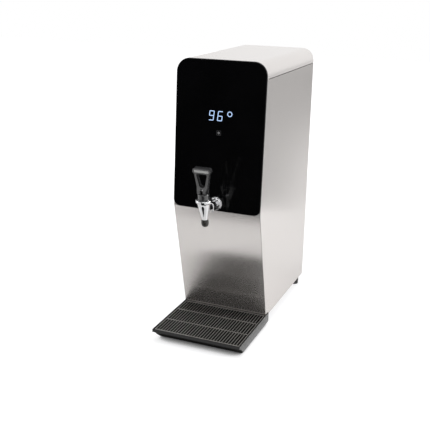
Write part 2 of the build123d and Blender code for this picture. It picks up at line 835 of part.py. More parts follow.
with BuildPart() as overheat_cutout:
    with Locations((cutout_x, cutout_y, tank_lid_top_z)):
        Cylinder(cutout_flange_radius, cutout_flange, align=(Align.CENTER, Align.CENTER, Align.MIN))
        Cylinder(cutout_radius, cutout_height, align=(Align.CENTER, Align.CENTER, Align.MIN))
    with BuildSketch(Plane.XY.offset(tank_lid_top_z + cutout_height)):
        with Locations((cutout_x, cutout_y)):
            with GridLocations(cutout_tab_distance, cutout_tab_distance, 2, 1):
                Rectangle(cutout_tab_thickness, cutout_tab_width)
    extrude(amount=cutout_tab_height)
overheat_cutout.part.label = "overheat_cutout"
export_step(overheat_cutout.part, "parts/overheat_cutout.step")

# Inlet valve: threaded stub through the back panel, valve body with a pipe socket, coil below
valve_flange_radius = 18
valve_flange = 4
valve_body_radius = 14
valve_run = 52
valve_axis_inset = 38
valve_bore = 7.5
valve_bore_depth = 30
valve_socket_radius = 10
valve_socket_height = 32
valve_socket_depth = 12
valve_stub_radius = 5
coil_width = 32
coil_height = 30
coil_corner = 4
coil_gap = 0.3
valve_y = back_y - valve_axis_inset
valve_socket_top_z = inlet_z + valve_socket_height
fill_bottom_z = valve_socket_top_z - valve_socket_depth
coil_top_z = inlet_z - valve_body_radius - coil_gap
valve_inside_y = back_y - sheet - valve_flange

with BuildPart() as inlet_valve:
    with BuildSketch(Plane.XZ.offset(-back_y - rear_reach)):
        with Locations((inlet_x, inlet_z)):
            Circle(inlet_thread_radius)
    extrude(amount=rear_reach - inlet_neck)
    with BuildSketch(Plane.XZ.offset(-back_y - inlet_neck)):
        with Locations((inlet_x, inlet_z)):
            Circle(inlet_neck_radius)
    extrude(amount=inlet_neck + sheet)
    with BuildSketch(Plane.XZ.offset(sheet - back_y)):
        with Locations((inlet_x, inlet_z)):
            Circle(valve_flange_radius)
    extrude(amount=valve_flange)
    with BuildSketch(Plane.XZ.offset(-valve_inside_y)):
        with Locations((inlet_x, inlet_z)):
            Circle(valve_body_radius)
    extrude(amount=valve_run)
    with Locations((inlet_x, valve_y, inlet_z)):
        Cylinder(
            valve_socket_radius, valve_socket_height, align=(Align.CENTER, Align.CENTER, Align.MIN)
        )
        Cylinder(
            valve_stub_radius,
            valve_body_radius + coil_gap + coil_height,
            align=(Align.CENTER, Align.CENTER, Align.MAX),
        )
    with BuildSketch(Plane.XY.offset(fill_bottom_z)):
        with Locations((inlet_x, valve_y)):
            Circle(socket_bore)
    extrude(amount=valve_socket_height, mode=Mode.SUBTRACT)
    with BuildSketch(Plane.XY.offset(inlet_z)):
        with Locations((inlet_x, valve_y)):
            Circle(pipe_bore)
    extrude(amount=valve_socket_height, mode=Mode.SUBTRACT)
    with BuildSketch(Plane.XZ.offset(-back_y - rear_reach)):
        with Locations((inlet_x, inlet_z)):
            Circle(valve_bore)
    extrude(amount=valve_bore_depth, mode=Mode.SUBTRACT)
inlet_valve.part.label = "inlet_valve"
export_step(inlet_valve.part, "parts/inlet_valve.step")

with BuildPart() as valve_coil:
    with BuildSketch(Plane.XY.offset(coil_top_z)):
        with Locations((inlet_x, valve_y)):
            RectangleRounded(coil_width, coil_width, coil_corner)
            Circle(valve_stub_radius + running_gap, mode=Mode.SUBTRACT)
    extrude(amount=-coil_height)
valve_coil.part.label = "valve_coil"
export_step(valve_coil.part, "parts/valve_coil.step")

# Pipes: one fills the tank from the valve, one takes overflow and steam out at the back
pipe_bend = 14
pipe_rise = 16
pipe_top_z = boss_top_z + pipe_rise
overflow_drop_inset = 38.5
overflow_y = back_y - overflow_drop_inset
overflow_reach = 15
overflow_bead = 1.5
overflow_bead_radius = 8


def bent_pipe(points, bend):
    """A round pipe along straight runs with rounded corners."""
    with BuildPart() as pipe:
        with BuildLine() as route:
            FilletPolyline(*points, radius=bend)
        with BuildSketch(Plane(origin=route.line @ 0, z_dir=route.line % 0)):
            Circle(pipe_radius)
            Circle(pipe_bore, mode=Mode.SUBTRACT)
        sweep(path=route.line)
    return pipe


fill_pipe = bent_pipe(
    [
        (inlet_x, valve_y, fill_bottom_z),
        (inlet_x, valve_y, pipe_top_z),
        (inlet_x, fill_tank_y, pipe_top_z),
        (inlet_x, fill_tank_y, pipe_end_z),
    ],
    pipe_bend,
)
fill_pipe.part.label = "fill_pipe"
export_step(fill_pipe.part, "parts/fill_pipe.step")

overflow_route = bent_pipe(
    [
        (overflow_x, overflow_tank_y, pipe_end_z),
        (overflow_x, overflow_tank_y, pipe_top_z),
        (overflow_x, overflow_y, pipe_top_z),
        (overflow_x, overflow_y, overflow_z),
        (overflow_x, back_y + overflow_reach, overflow_z),
    ],
    pipe_bend,
)

with BuildPart() as overflow_pipe:
    add(overflow_route.part)
    with BuildSketch(Plane.XZ.offset(-back_y - panel_gap)):
        with Locations((overflow_x, overflow_z)):
            Circle(overflow_bead_radius)
            Circle(pipe_bore, mode=Mode.SUBTRACT)
    extrude(amount=-overflow_bead)
overflow_pipe.part.label = "overflow_pipe"
export_step(overflow_pipe.part, "parts/overflow_pipe.step")

# Control board on a folded bracket that stands on the base
bracket_inset = 47
bracket_x = half_width - bracket_inset
bracket_sheet = 1.2
bracket_length = 160
bracket_height = 180
bracket_foot = 18
bracket_mid_inset = 137.5
bracket_mid_y = back_y - bracket_mid_inset
board_standoff = 8
board_length = 148
board_height = 150
board_foot_gap = 15
transformer_length = 44
transformer_depth = 26
transformer_height = 38
board_relay_length = 28
board_relay_depth = 16
board_relay_height = 13
capacitor_radius = 7
capacitor_depth = 22
capacitor_distance = 21
header_distance = 27
board_low_share = -0.25
board_high_share = 0.2
board_near_share = 0.25
board_far_share = -0.25
board_standoff_length = 138
board_standoff_height = 140
header_length = 60
header_depth = 12
header_height = 9
bracket_bottom_z = base_top_z
board_mid_z = base_top_z + board_foot_gap + board_height / 2
board_back_x = bracket_x - board_standoff
board_front_x = board_back_x - board_thickness

with BuildPart() as control_bracket:
    with BuildSketch(Plane.XY.offset(bracket_bottom_z)):
        with Locations((bracket_x, bracket_mid_y)):
            Rectangle(bracket_sheet, bracket_length, align=(Align.MIN, Align.CENTER))
    extrude(amount=bracket_height)
    with BuildSketch(Plane.XY.offset(bracket_bottom_z)):
        with Locations((bracket_x, bracket_mid_y)):
            Rectangle(bracket_foot, bracket_length, align=(Align.MIN, Align.CENTER))
    extrude(amount=bracket_sheet)
control_bracket.part.label = "control_bracket"
export_step(control_bracket.part, "parts/control_bracket.step")

with BuildPart() as board_standoffs:
    with BuildSketch(Plane.YZ.offset(board_back_x)):
        with Locations((bracket_mid_y, board_mid_z)):
            with GridLocations(board_standoff_length, board_standoff_height, 2, 2):
                Circle(standoff_radius)
    extrude(amount=board_standoff)
board_standoffs.part.label = "board_standoffs"
export_step(board_standoffs.part, "parts/board_standoffs.step")

board_near_y = bracket_mid_y + board_near_share * board_length
board_far_y = bracket_mid_y + board_far_share * board_length
board_low_z = board_mid_z + board_low_share * board_height
board_high_z = board_mid_z + board_high_share * board_height

with BuildPart() as control_board:
    with BuildSketch(Plane.YZ.offset(board_front_x)):
        with Locations((bracket_mid_y, board_mid_z)):
            Rectangle(board_length, board_height)
    extrude(amount=board_thickness)
    with BuildSketch(Plane.YZ.offset(board_front_x)):
        with Locations((board_far_y, board_low_z)):
            Rectangle(transformer_length, transformer_height)
    extrude(amount=-transformer_depth)
    with BuildSketch(Plane.YZ.offset(board_front_x)):
        with Locations((board_near_y, board_low_z)):
            with GridLocations(board_relay_length, 2 * board_relay_height, 1, 2):
                Rectangle(board_relay_length, board_relay_height)
    extrude(amount=-board_relay_depth)
    with BuildSketch(Plane.YZ.offset(board_front_x)):
        with Locations((board_far_y, board_high_z)):
            with GridLocations(capacitor_distance, capacitor_distance, 2, 1):
                Circle(capacitor_radius)
    extrude(amount=-capacitor_depth)
    with BuildSketch(Plane.YZ.offset(board_front_x)):
        with Locations((board_near_y, board_high_z)):
            with GridLocations(header_length, header_distance, 1, 2):
                Rectangle(header_length, header_height)
    extrude(amount=-header_depth)
control_board.part.label = "control_board"
export_step(control_board.part, "parts/control_board.step")

# Power relay on a finned heat sink, standing on the base at the left
sink_inset = 21
sink_x = sink_inset - half_width
sink_plate = 5
sink_fin = 10
sink_fin_thickness = 1.6
sink_length = 80
sink_height = 100
sink_fin_count = 9
sink_mid_y = flange_mid_y
relay_thickness = 24
relay_screw_distance = 22
relay_screw_rise = 38
relay_length = 45
relay_height = 58
relay_rise = 21

sink_fin_step = (sink_length - sink_fin_thickness) / (sink_fin_count - 1)

with BuildPart() as heat_sink:
    with BuildSketch(Plane.XY.offset(base_top_z)):
        with Locations((sink_x, sink_mid_y)):
            Rectangle(sink_plate, sink_length, align=(Align.MAX, Align.CENTER))
        with Locations((sink_x - sink_plate - sink_fin / 2, sink_mid_y)):
            with GridLocations(sink_fin, sink_fin_step, 1, sink_fin_count):
                Rectangle(sink_fin, sink_fin_thickness)
    extrude(amount=sink_height)
heat_sink.part.label = "heat_sink"
export_step(heat_sink.part, "parts/heat_sink.step")

with BuildPart() as power_relay:
    with BuildSketch(Plane.YZ.offset(sink_x)):
        with Locations((sink_mid_y, base_top_z + relay_rise)):
            Rectangle(relay_length, relay_height, align=(Align.CENTER, Align.MIN))
    extrude(amount=relay_thickness)
    with BuildSketch(Plane.YZ.offset(sink_x + relay_thickness)):
        with Locations((sink_mid_y, base_top_z + relay_rise + relay_height / 2)):
            with GridLocations(relay_screw_distance, relay_screw_rise, 2, 2):
                Circle(foot_bolt_radius)
    extrude(amount=foot_bolt_radius)
power_relay.part.label = "power_relay"
export_step(power_relay.part, "parts/power_relay.step")

# Terminal block and cable gland, where the supply lead comes in
terminal_offset = 4
terminal_inset = 78
terminal_x = terminal_offset
terminal_y = back_y - terminal_inset
terminal_length = 50
terminal_depth = 18
terminal_height = 21
terminal_ways = 5
terminal_screw_radius = 3
terminal_screw_depth = 4
gland_hex_radius = 13
gland_hex = 6
gland_dome_radius = 10
gland_reach = 14
gland_bore = 5
gland_inside = 16
gland_nut = 5
gland_edge = 2

with BuildPart() as terminal_block:
    with BuildSketch(Plane.XY.offset(base_top_z)):
        with Locations((terminal_x, terminal_y)):
            Rectangle(terminal_length, terminal_depth)
    extrude(amount=terminal_height)
    with BuildSketch(Plane.XY.offset(base_top_z + terminal_height)):
        with Locations((terminal_x, terminal_y)):
            with GridLocations(terminal_length / terminal_ways, terminal_depth, terminal_ways, 1):
                Circle(terminal_screw_radius)
    extrude(amount=-terminal_screw_depth, mode=Mode.SUBTRACT)
terminal_block.part.label = "terminal_block"
export_step(terminal_block.part, "parts/terminal_block.step")

with BuildPart() as mains_gland:
    with BuildSketch(Plane.XZ.offset(-back_y)):
        with Locations((gland_x, gland_z)):
            RegularPolygon(gland_hex_radius, 6)
    extrude(amount=-gland_hex)
    with BuildSketch(Plane.XZ.offset(-back_y)):
        with Locations((gland_x, gland_z)):
            Circle(gland_dome_radius)
    extrude(amount=-gland_reach)
    fillet(edges().group_by(Axis.Y)[-1], radius=gland_edge)
    with BuildSketch(Plane.XZ.offset(-back_y)):
        with Locations((gland_x, gland_z)):
            Circle(gland_thread_radius)
    extrude(amount=gland_inside)
    with BuildSketch(Plane.XZ.offset(-back_y)):
        with Locations((gland_x, gland_z)):
            Circle(gland_bore)
    extrude(amount=overall_depth / 2, both=True, mode=Mode.SUBTRACT)
mains_gland.part.label = "mains_gland"
export_step(mains_gland.part, "parts/mains_gland.step")

with BuildPart() as gland_locknut:
    with BuildSketch(Plane.XZ.offset(sheet - back_y)):
        with Locations((gland_x, gland_z)):
            RegularPolygon(gland_hex_radius, 6)
            Circle(gland_thread_radius + running_gap, mode=Mode.SUBTRACT)
    extrude(amount=gland_nut)
gland_locknut.part.label = "gland_locknut"
export_step(gland_locknut.part, "parts/gland_locknut.step")

# Tap: its stem axis leans forward at the top, and its shank runs square through the fascia
tap_lean = radians(tap_lean_angle)
tap_center = shank_plane.offset(fascia_thickness + tap_reach).origin
tap_plane = Plane(origin=tap_center, x_dir=(1, 0, 0), z_dir=(0, -sin(tap_lean), cos(tap_lean)))
tap_section = Plane(origin=tap_center, x_dir=(1, 0, 0), z_dir=-tap_plane.y_dir)
tap_axis = Axis(tap_center, tap_plane.z_dir)
tap_outlet_depth = 38.5
bead_radius = 8.3
bead_mouth_radius = 6.4
bead_neck_radius = 6.4
bead_mid_depth = 30.5
bead_neck_depth = 22
spout_radius = 8.4
spout_depth = 11
cone_radius = 11.8
bowl_radius = 17.8
bowl_foot = 18.5
bowl_top = 25
bowl_edge = 1.2
outlet_bore = 4.5
chamber_radius = 7.6
chamber_depth = 8
chamber_top = 10
bonnet_bore = 13
boss_shell_radius = 12
boss_reach = 22
boss_socket_start = 12
tap_boss_face = fascia_thickness + tap_reach - boss_reach
shank_outer_end = fascia_thickness + tap_reach - boss_socket_start - panel_gap
shank_tail_gap = 1.5
sleeve_start = 11
sleeve_wall = 3
sleeve_clearance = 2.6
sleeve_end = spigot_end - spigot_inside - insulation - jacket_gap - sleeve_clearance
shank_tail_end = spigot_start - shank_tail_gap

with BuildPart() as tap_body:
    with BuildSketch(tap_section):
        with BuildLine():
            Line((0, -tap_outlet_depth), (bead_mouth_radius, -tap_outlet_depth))
            ThreePointArc(
                (bead_mouth_radius, -tap_outlet_depth),
                (bead_radius, -bead_mid_depth),
                (bead_neck_radius, -bead_neck_depth),
            )
            ThreePointArc(
                (bead_neck_radius, -bead_neck_depth), (spout_radius, -spout_depth), (cone_radius, 0)
            )
            Polyline(
                (cone_radius, 0),
                (bowl_radius, bowl_foot),
                (bowl_radius, bowl_top - bowl_edge),
                (bowl_radius - bowl_edge, bowl_top),
                (0, bowl_top),
                (0, -tap_outlet_depth),
            )
        make_face()
    revolve(axis=tap_axis)
    with BuildSketch(shank_plane.offset(fascia_thickness + tap_reach)):
        Circle(boss_shell_radius)
    extrude(amount=-boss_reach)
    with BuildSketch(tap_section):
        with BuildLine():
            Polyline(
                (0, -tap_outlet_depth - overrun),
                (outlet_bore, -tap_outlet_depth - overrun),
                (outlet_bore, -chamber_depth),
                (chamber_radius, -chamber_depth),
                (chamber_radius, chamber_top),
                (bonnet_bore, chamber_top),
                (bonnet_bore, bowl_top + overrun),
                (0, bowl_top + overrun),
                close=True,
            )
        make_face()
    revolve(axis=tap_axis, mode=Mode.SUBTRACT)
    with BuildSketch(shank_plane.offset(tap_boss_face)):
        Circle(shank_radius + running_gap)
    extrude(amount=boss_reach - boss_socket_start, mode=Mode.SUBTRACT)
    with BuildSketch(shank_plane.offset(tap_boss_face)):
        Circle(spigot_bore)
    extrude(amount=boss_reach, mode=Mode.SUBTRACT)
tap_body.part.label = "tap_body"
export_step(tap_body.part, "parts/tap_body.step")

with BuildPart() as tap_shank:
    with BuildSketch(shank_plane.offset(shank_outer_end)):
        Circle(shank_radius)
    extrude(amount=-shank_outer_end - sleeve_start)
    with BuildSketch(shank_plane.offset(-sleeve_start)):
        Circle(spigot_radius)
    extrude(amount=sleeve_start - shank_tail_end)
    with BuildSketch(shank_plane.offset(shank_outer_end)):
        Circle(spigot_bore)
    extrude(amount=-shank_outer_end - shank_tail_end, mode=Mode.SUBTRACT)
tap_shank.part.label = "tap_shank"
export_step(tap_shank.part, "parts/tap_shank.step")

# Rings on the shank, from the tap inward: coupling nut, collar, washers and locknut
coupling_nut_radius = 14.5
coupling_nut = 10
collar_radius = 15.5
collar_thickness = 6
collar_edge = 2.5
face_washer_radius = 14
face_washer = 1.2
back_washer_radius = 14
back_washer = 2
locknut_radius = 15
locknut = 7

with BuildPart() as tap_coupling_nut:
    with BuildSketch(shank_plane.offset(tap_boss_face - panel_gap)):
        RegularPolygon(coupling_nut_radius, 6)
        Circle(shank_hole, mode=Mode.SUBTRACT)
    extrude(amount=-coupling_nut)
tap_coupling_nut.part.label = "tap_coupling_nut"
export_step(tap_coupling_nut.part, "parts/tap_coupling_nut.step")

with BuildPart() as tap_collar:
    with BuildSketch(shank_plane.offset(fascia_thickness + face_washer)):
        Circle(collar_radius)
    extrude(amount=collar_thickness)
    chamfer(faces().sort_by(Axis((0, 0, 0), shank_plane.z_dir))[-1].edges(), length=collar_edge)
    with BuildSketch(shank_plane):
        Circle(shank_hole)
    extrude(amount=fascia_thickness + face_washer + collar_thickness, mode=Mode.SUBTRACT)
tap_collar.part.label = "tap_collar"
export_step(tap_collar.part, "parts/tap_collar.step")

with BuildPart() as tap_face_washer:
    with BuildSketch(shank_plane.offset(fascia_thickness)):
        Circle(face_washer_radius)
        Circle(shank_hole, mode=Mode.SUBTRACT)
    extrude(amount=face_washer)
tap_face_washer.part.label = "tap_face_washer"
export_step(tap_face_washer.part, "parts/tap_face_washer.step")

with BuildPart() as tap_back_washer:
    with BuildSketch(shank_plane.offset(-sheet)):
        Circle(back_washer_radius)
        Circle(shank_hole, mode=Mode.SUBTRACT)
    extrude(amount=-back_washer)
tap_back_washer.part.label = "tap_back_washer"
export_step(tap_back_washer.part, "parts/tap_back_washer.step")

with BuildPart() as tap_locknut:
    with BuildSketch(shank_plane.offset(-sheet - back_washer)):
        RegularPolygon(locknut_radius, 6)
        Circle(shank_radius + running_gap, mode=Mode.SUBTRACT)
    extrude(amount=-locknut)
tap_locknut.part.label = "tap_locknut"
export_step(tap_locknut.part, "parts/tap_locknut.step")

with BuildPart() as outlet_sleeve:
    with BuildSketch(shank_plane.offset(-sleeve_start - panel_gap)):
        Circle(spigot_radius + sleeve_wall)
        Circle(spigot_radius + running_gap, mode=Mode.SUBTRACT)
    extrude(amount=sleeve_start + panel_gap - sleeve_end)
outlet_sleeve.part.label = "outlet_sleeve"
export_step(outlet_sleeve.part, "parts/outlet_sleeve.step")

# Bonnet: the dark cap screwed into the bowl, which holds the spring and guides the stem
bonnet_plug_bottom = 12
bonnet_flange_radius = 14.3
bonnet_flange = 1.6
bonnet_radius = 12.5
bonnet_top = 39
bonnet_edge = 1.5
bonnet_ceiling = 35
stem_radius = 3
stem_hole = stem_radius + panel_gap

with BuildPart() as tap_bonnet:
    with BuildSketch(tap_section):
        with BuildLine():
            Polyline(
                (chamber_radius, bonnet_plug_bottom),
                (bonnet_bore - running_gap, bonnet_plug_bottom),
                (bonnet_bore - running_gap, bowl_top),
                (bonnet_flange_radius, bowl_top),
                (bonnet_flange_radius, bowl_top + bonnet_flange),
                (bonnet_radius, bowl_top + bonnet_flange),
                (bonnet_radius, bonnet_top - bonnet_edge),
                (bonnet_radius - bonnet_edge, bonnet_top),
                (stem_hole, bonnet_top),
                (stem_hole, bonnet_ceiling),
                (chamber_radius, bonnet_ceiling),
                close=True,
            )
        make_face()
    revolve(axis=tap_axis)
tap_bonnet.part.label = "tap_bonnet"
export_step(tap_bonnet.part, "parts/tap_bonnet.step")

# Stem with its spring seat and eye, the seat cup below and the spring above
pin_height = 46
pin_radius = 2
pin_fit = 0.02
pin_length = 19
eye_half_thickness = 2.5
eye_radius = 4.8
stem_bottom = -4.7
spring_seat_radius = 7
spring_seat_bottom = 0
spring_seat_top = 2
cup_radius = 6.5
cup_bottom = -7.7
cup_top = -1.5
spring_radius = 5.4
spring_wire_radius = 0.8
spring_turns = 7
spring_gap = 0.15
pin_center = tap_plane.offset(pin_height).origin
pin_plane = Plane(origin=pin_center, x_dir=tap_plane.y_dir, z_dir=(1, 0, 0))

with BuildPart() as tap_stem:
    with BuildSketch(tap_plane.offset(stem_bottom)):
        Circle(stem_radius)
    extrude(amount=pin_height - stem_bottom)
    with BuildSketch(tap_plane.offset(spring_seat_bottom)):
        Circle(spring_seat_radius)
    extrude(amount=spring_seat_top - spring_seat_bottom)
    with BuildSketch(pin_plane):
        Circle(eye_radius)
    extrude(amount=eye_half_thickness, both=True)
    with BuildSketch(pin_plane):
        Circle(pin_radius + pin_fit)
    extrude(amount=stem_radius + overrun, both=True, mode=Mode.SUBTRACT)
tap_stem.part.label = "tap_stem"
export_step(tap_stem.part, "parts/tap_stem.step")

with BuildPart() as tap_seat_cup:
    with BuildSketch(tap_plane.offset(cup_bottom)):
        Circle(cup_radius)
    extrude(amount=cup_top - cup_bottom)
    with BuildSketch(tap_plane.offset(stem_bottom)):
        Circle(stem_radius + pin_fit)
    extrude(amount=cup_top - stem_bottom, mode=Mode.SUBTRACT)
tap_seat_cup.part.label = "tap_seat_cup"
export_step(tap_seat_cup.part, "parts/tap_seat_cup.step")

spring_bottom = spring_seat_top + spring_gap + spring_wire_radius
spring_height = bonnet_ceiling - spring_gap - spring_wire_radius - spring_bottom

with BuildPart() as tap_spring:
    with BuildLine(tap_plane.offset(spring_bottom)) as spring_line:
        Helix(
            pitch=spring_height / spring_turns,
            height=spring_height,
            radius=spring_radius,
            direction=tap_plane.z_dir,
        )
    with BuildSketch(Plane(origin=spring_line.line @ 0, z_dir=spring_line.line % 0)):
        Circle(spring_wire_radius)
    sweep(path=spring_line.line, is_frenet=True)
tap_spring.part.label = "tap_spring"
export_step(tap_spring.part, "parts/tap_spring.step")

with BuildPart() as tap_lever_pin:
    with BuildSketch(pin_plane):
        Circle(pin_radius)
    extrude(amount=pin_length / 2, both=True)
tap_lever_pin.part.label = "tap_lever_pin"
export_step(tap_lever_pin.part, "parts/tap_lever_pin.step")

# Lever: an open loop handle over a forked foot whose front edge is a cam
# The cam lifts the pin by the same amount for each degree, from flat foot to full travel
cam_lift = 5.5
cam_steps = 6
foot_half_width = 10
foot_back = 8
foot_front = 11.6
foot_shoulder = 2
neck_half_width = 12.5
neck_height = 9
neck_front = 6
neck_back = 5.5
loop_half_width = 16.6
loop_top = 39.4
hole_bottom = 8
hole_bottom_half = 5
hole_top_half = 12
hole_corner = 4
bar_half_width = 20.2
bar_height = 11.6
bar_corner = 5
bar_front = 6.5
bar_back = 6.5
fork_half_gap = stem_radius + panel_gap
fork_top = 5.8
fork_length = 2 * (foot_front + foot_back)
foot_depth = pin_height - bonnet_top - panel_gap
lever_plane = Plane(origin=pin_plane.origin, x_dir=(1, 0, 0), z_dir=-tap_plane.y_dir)


def cam_point(turn):
    """A point of the cam: it is the lowest one when the lever is pulled forward by this angle."""
    reach = foot_depth + cam_lift * turn
    return (-reach * sin(turn) - cam_lift * cos(turn), -reach * cos(turn) + cam_lift * sin(turn))


cam_points = [cam_point(radians(lever_travel_angle) * step / cam_steps) for step in range(cam_steps + 1)]

with BuildPart() as tap_lever:
    with BuildSketch(lever_plane):
        with BuildLine():
            Polyline(
                (-foot_half_width, -foot_depth),
                (-foot_half_width, foot_shoulder),
                (-neck_half_width, neck_height),
                (-loop_half_width, loop_top),
                (loop_half_width, loop_top),
                (neck_half_width, neck_height),
                (foot_half_width, foot_shoulder),
                (foot_half_width, -foot_depth),
                close=True,
            )
        make_face()
        with Locations((0, loop_top)):
            RectangleRounded(
                2 * bar_half_width, bar_height, bar_corner, align=(Align.CENTER, Align.MIN)
            )
    extrude(amount=bar_front + foot_front, both=True)
    with BuildSketch(lever_plane):
        with BuildLine():
            Polyline(
                (-hole_bottom_half, hole_bottom),
                (-hole_top_half, loop_top),
                (hole_top_half, loop_top),
                (hole_bottom_half, hole_bottom),
                close=True,
            )
        make_face()
        fillet(vertices(), radius=hole_corner)
    extrude(amount=bar_front + foot_front, both=True, mode=Mode.SUBTRACT)
    with BuildSketch(pin_plane):
        with BuildLine():
            Spline(*cam_points)
            Polyline(
                cam_points[-1],
                (-foot_front, foot_shoulder),
                (-neck_front, neck_height),
                (-neck_front, loop_top),
                (-bar_front, loop_top),
                (-bar_front, loop_top + bar_height),
                (bar_back, loop_top + bar_height),
                (bar_back, loop_top),
                (neck_back, loop_top),
                (neck_back, neck_height),
                (foot_back, foot_shoulder),
                (foot_back, -foot_depth),
                cam_points[0],
            )
        make_face()
    extrude(amount=bar_half_width + overrun, both=True, mode=Mode.INTERSECT)
    with BuildSketch(pin_plane.offset(-fork_half_gap)):
        with Locations((0, fork_top)):
            Rectangle(fork_length, fork_top + foot_depth + cam_lift, align=(Align.CENTER, Align.MAX))
    extrude(amount=2 * fork_half_gap, mode=Mode.SUBTRACT)
    with BuildSketch(pin_plane):
        Circle(pin_radius + running_gap)
    extrude(amount=bar_half_width, both=True, mode=Mode.SUBTRACT)
tap_lever.part.label = "tap_lever"
export_step(tap_lever.part, "parts/tap_lever.step")

lever_label_width = 33
lever_label_height = 5
lever_label_thickness = 0.6
lever_label_corner = 1.5

with BuildPart() as lever_label:
    with BuildSketch(lever_plane.offset(bar_front)):
        with Locations((0, loop_top + bar_height / 2)):
            RectangleRounded(lever_label_width, lever_label_height, lever_label_corner)
    extrude(amount=lever_label_thickness)
lever_label.part.label = "lever_label"
export_step(lever_label.part, "parts/lever_label.step")

# Drip tray: a moulded basin whose side walls run on past the casing's lower corners
tray_wall = 1.6
tray_floor = 2.4
tray_slide_gap = 0.35
tray_lap = 5
tray_top_z = casing_bottom_z + tray_lap
tray_bottom_z = 1.5
tray_ear = 16
tray_rim = 7
tray_ledge_in = 8
tray_ledge_drop = 2.5
tray_toe = 29
tray_keel = 4.4
tray_keel_height = 8
tray_headroom = 1
tray_half = half_width + tray_slide_gap + tray_wall
tray_back_y = bottom_front_y + tray_ear
pad_radius = 6
pad_inset = 26
grille_thickness = 2.5
grille_drop = 0.8
grille_seat = 3.5
grille_seat_height = 2
grille_bottom_z = tray_top_z - grille_drop - grille_thickness


def tray_form(top_z, inset, floor_z):
    """The tray's outer form drawn in by a wall: sloped at the front and tapered at the keel."""
    with BuildPart() as form:
        with BuildSketch(Plane.YZ):
            with BuildLine():
                Polyline(
                    (tray_front_y + inset, top_z),
                    (tray_front_y + inset, tray_top_z - tray_rim),
                    (tray_front_y + inset + tray_ledge_in, tray_top_z - tray_rim - tray_ledge_drop),
                    (tray_front_y + inset + tray_toe, floor_z),
                    (tray_back_y - inset, floor_z),
                    (tray_back_y - inset, top_z),
                    close=True,
                )
            make_face()
        extrude(amount=tray_half - inset, both=True)
        with BuildSketch(Plane.XZ):
            with BuildLine():
                Polyline(
                    (-tray_half + inset, top_z),
                    (-tray_half + inset, tray_bottom_z + tray_keel_height),
                    (-tray_half + inset + tray_keel, floor_z),
                    (tray_half - inset - tray_keel, floor_z),
                    (tray_half - inset, tray_bottom_z + tray_keel_height),
                    (tray_half - inset, top_z),
                    close=True,
                )
            make_face()
        extrude(amount=overall_depth, both=True, mode=Mode.INTERSECT)
    return form.part


tray_outside = tray_form(tray_top_z, 0, tray_bottom_z)
tray_inside = tray_form(tray_top_z + overrun, tray_wall, tray_bottom_z + tray_floor)

with BuildPart() as drip_tray:
    add(tray_outside)
    add(tray_inside, mode=Mode.SUBTRACT)
    with BuildSketch(Plane.XY.offset(grille_bottom_z)):
        with Locations((0, tray_front_y + tray_wall)):
            seat_length = bottom_front_y - tray_front_y - tray_wall - tray_headroom
            Rectangle(2 * (tray_half - tray_wall), seat_length, align=(Align.CENTER, Align.MIN))
        with Locations((0, tray_front_y + tray_wall + grille_seat)):
            Rectangle(
                2 * (tray_half - tray_wall - grille_seat),
                seat_length,
                align=(Align.CENTER, Align.MIN),
                mode=Mode.SUBTRACT,
            )
    extrude(amount=-grille_seat_height)
    with BuildSketch(Plane.XY.offset(casing_bottom_z - tray_headroom)):
        with Locations((0, front_y(tray_top_z) - tray_headroom)):
            Rectangle(
                2 * (half_width + tray_slide_gap), overall_depth, align=(Align.CENTER, Align.MIN)
            )
    extrude(amount=tray_top_z, mode=Mode.SUBTRACT)
drip_tray.part.label = "drip_tray"
export_step(drip_tray.part, "parts/drip_tray.step")

pad_places_mid_y = (tray_front_y + tray_toe + tray_back_y) / 2
pad_distance_x = 2 * (tray_half - pad_inset)
pad_distance_y = tray_back_y - tray_front_y - tray_toe - 2 * pad_inset

with BuildPart() as tray_pads:
    with BuildSketch(Plane.XY):
        with Locations((0, pad_places_mid_y)):
            with GridLocations(pad_distance_x, pad_distance_y, 2, 2):
                Circle(pad_radius)
    extrude(amount=tray_bottom_z)
tray_pads.part.label = "tray_pads"
export_step(tray_pads.part, "parts/tray_pads.step")

# Grille: a flat slotted plate in three rows, with two cross bars
grille_side_gap = 2.6
grille_front_gap = 2.6
grille_back_gap = 1.2
grille_border = 4
cross_bar = 3.5
slot_count = 30
slot_width = 3.7
row_step = 59.5
row_count = 3
grille_half = tray_half - tray_wall - grille_side_gap
grille_front_y = tray_front_y + tray_wall + grille_front_gap
grille_back_y = front_y(tray_top_z) - grille_back_gap
grille_length = grille_back_y - grille_front_y
slot_step = (2 * (grille_half - grille_border) - slot_width) / (slot_count - 1)
row_starts = [grille_front_y + grille_border + row * row_step for row in range(row_count)]
row_ends = [start + row_step - cross_bar for start in row_starts[:-1]] + [grille_back_y - grille_border]

with BuildPart() as drip_grille:
    with BuildSketch(Plane.XY.offset(grille_bottom_z)):
        with Locations((0, grille_front_y)):
            Rectangle(2 * grille_half, grille_length, align=(Align.CENTER, Align.MIN))
        for row_start, row_end in zip(row_starts, row_ends):
            with Locations((0, (row_start + row_end) / 2)):
                with GridLocations(slot_step, row_step, slot_count, 1):
                    Rectangle(slot_width, row_end - row_start, mode=Mode.SUBTRACT)
    extrude(amount=grille_thickness)
drip_grille.part.label = "drip_grille"
export_step(drip_grille.part, "parts/drip_grille.step")
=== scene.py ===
from math import cos, pi, radians, sin, tan

import bmesh
import bpy
from mathutils import Matrix, Vector


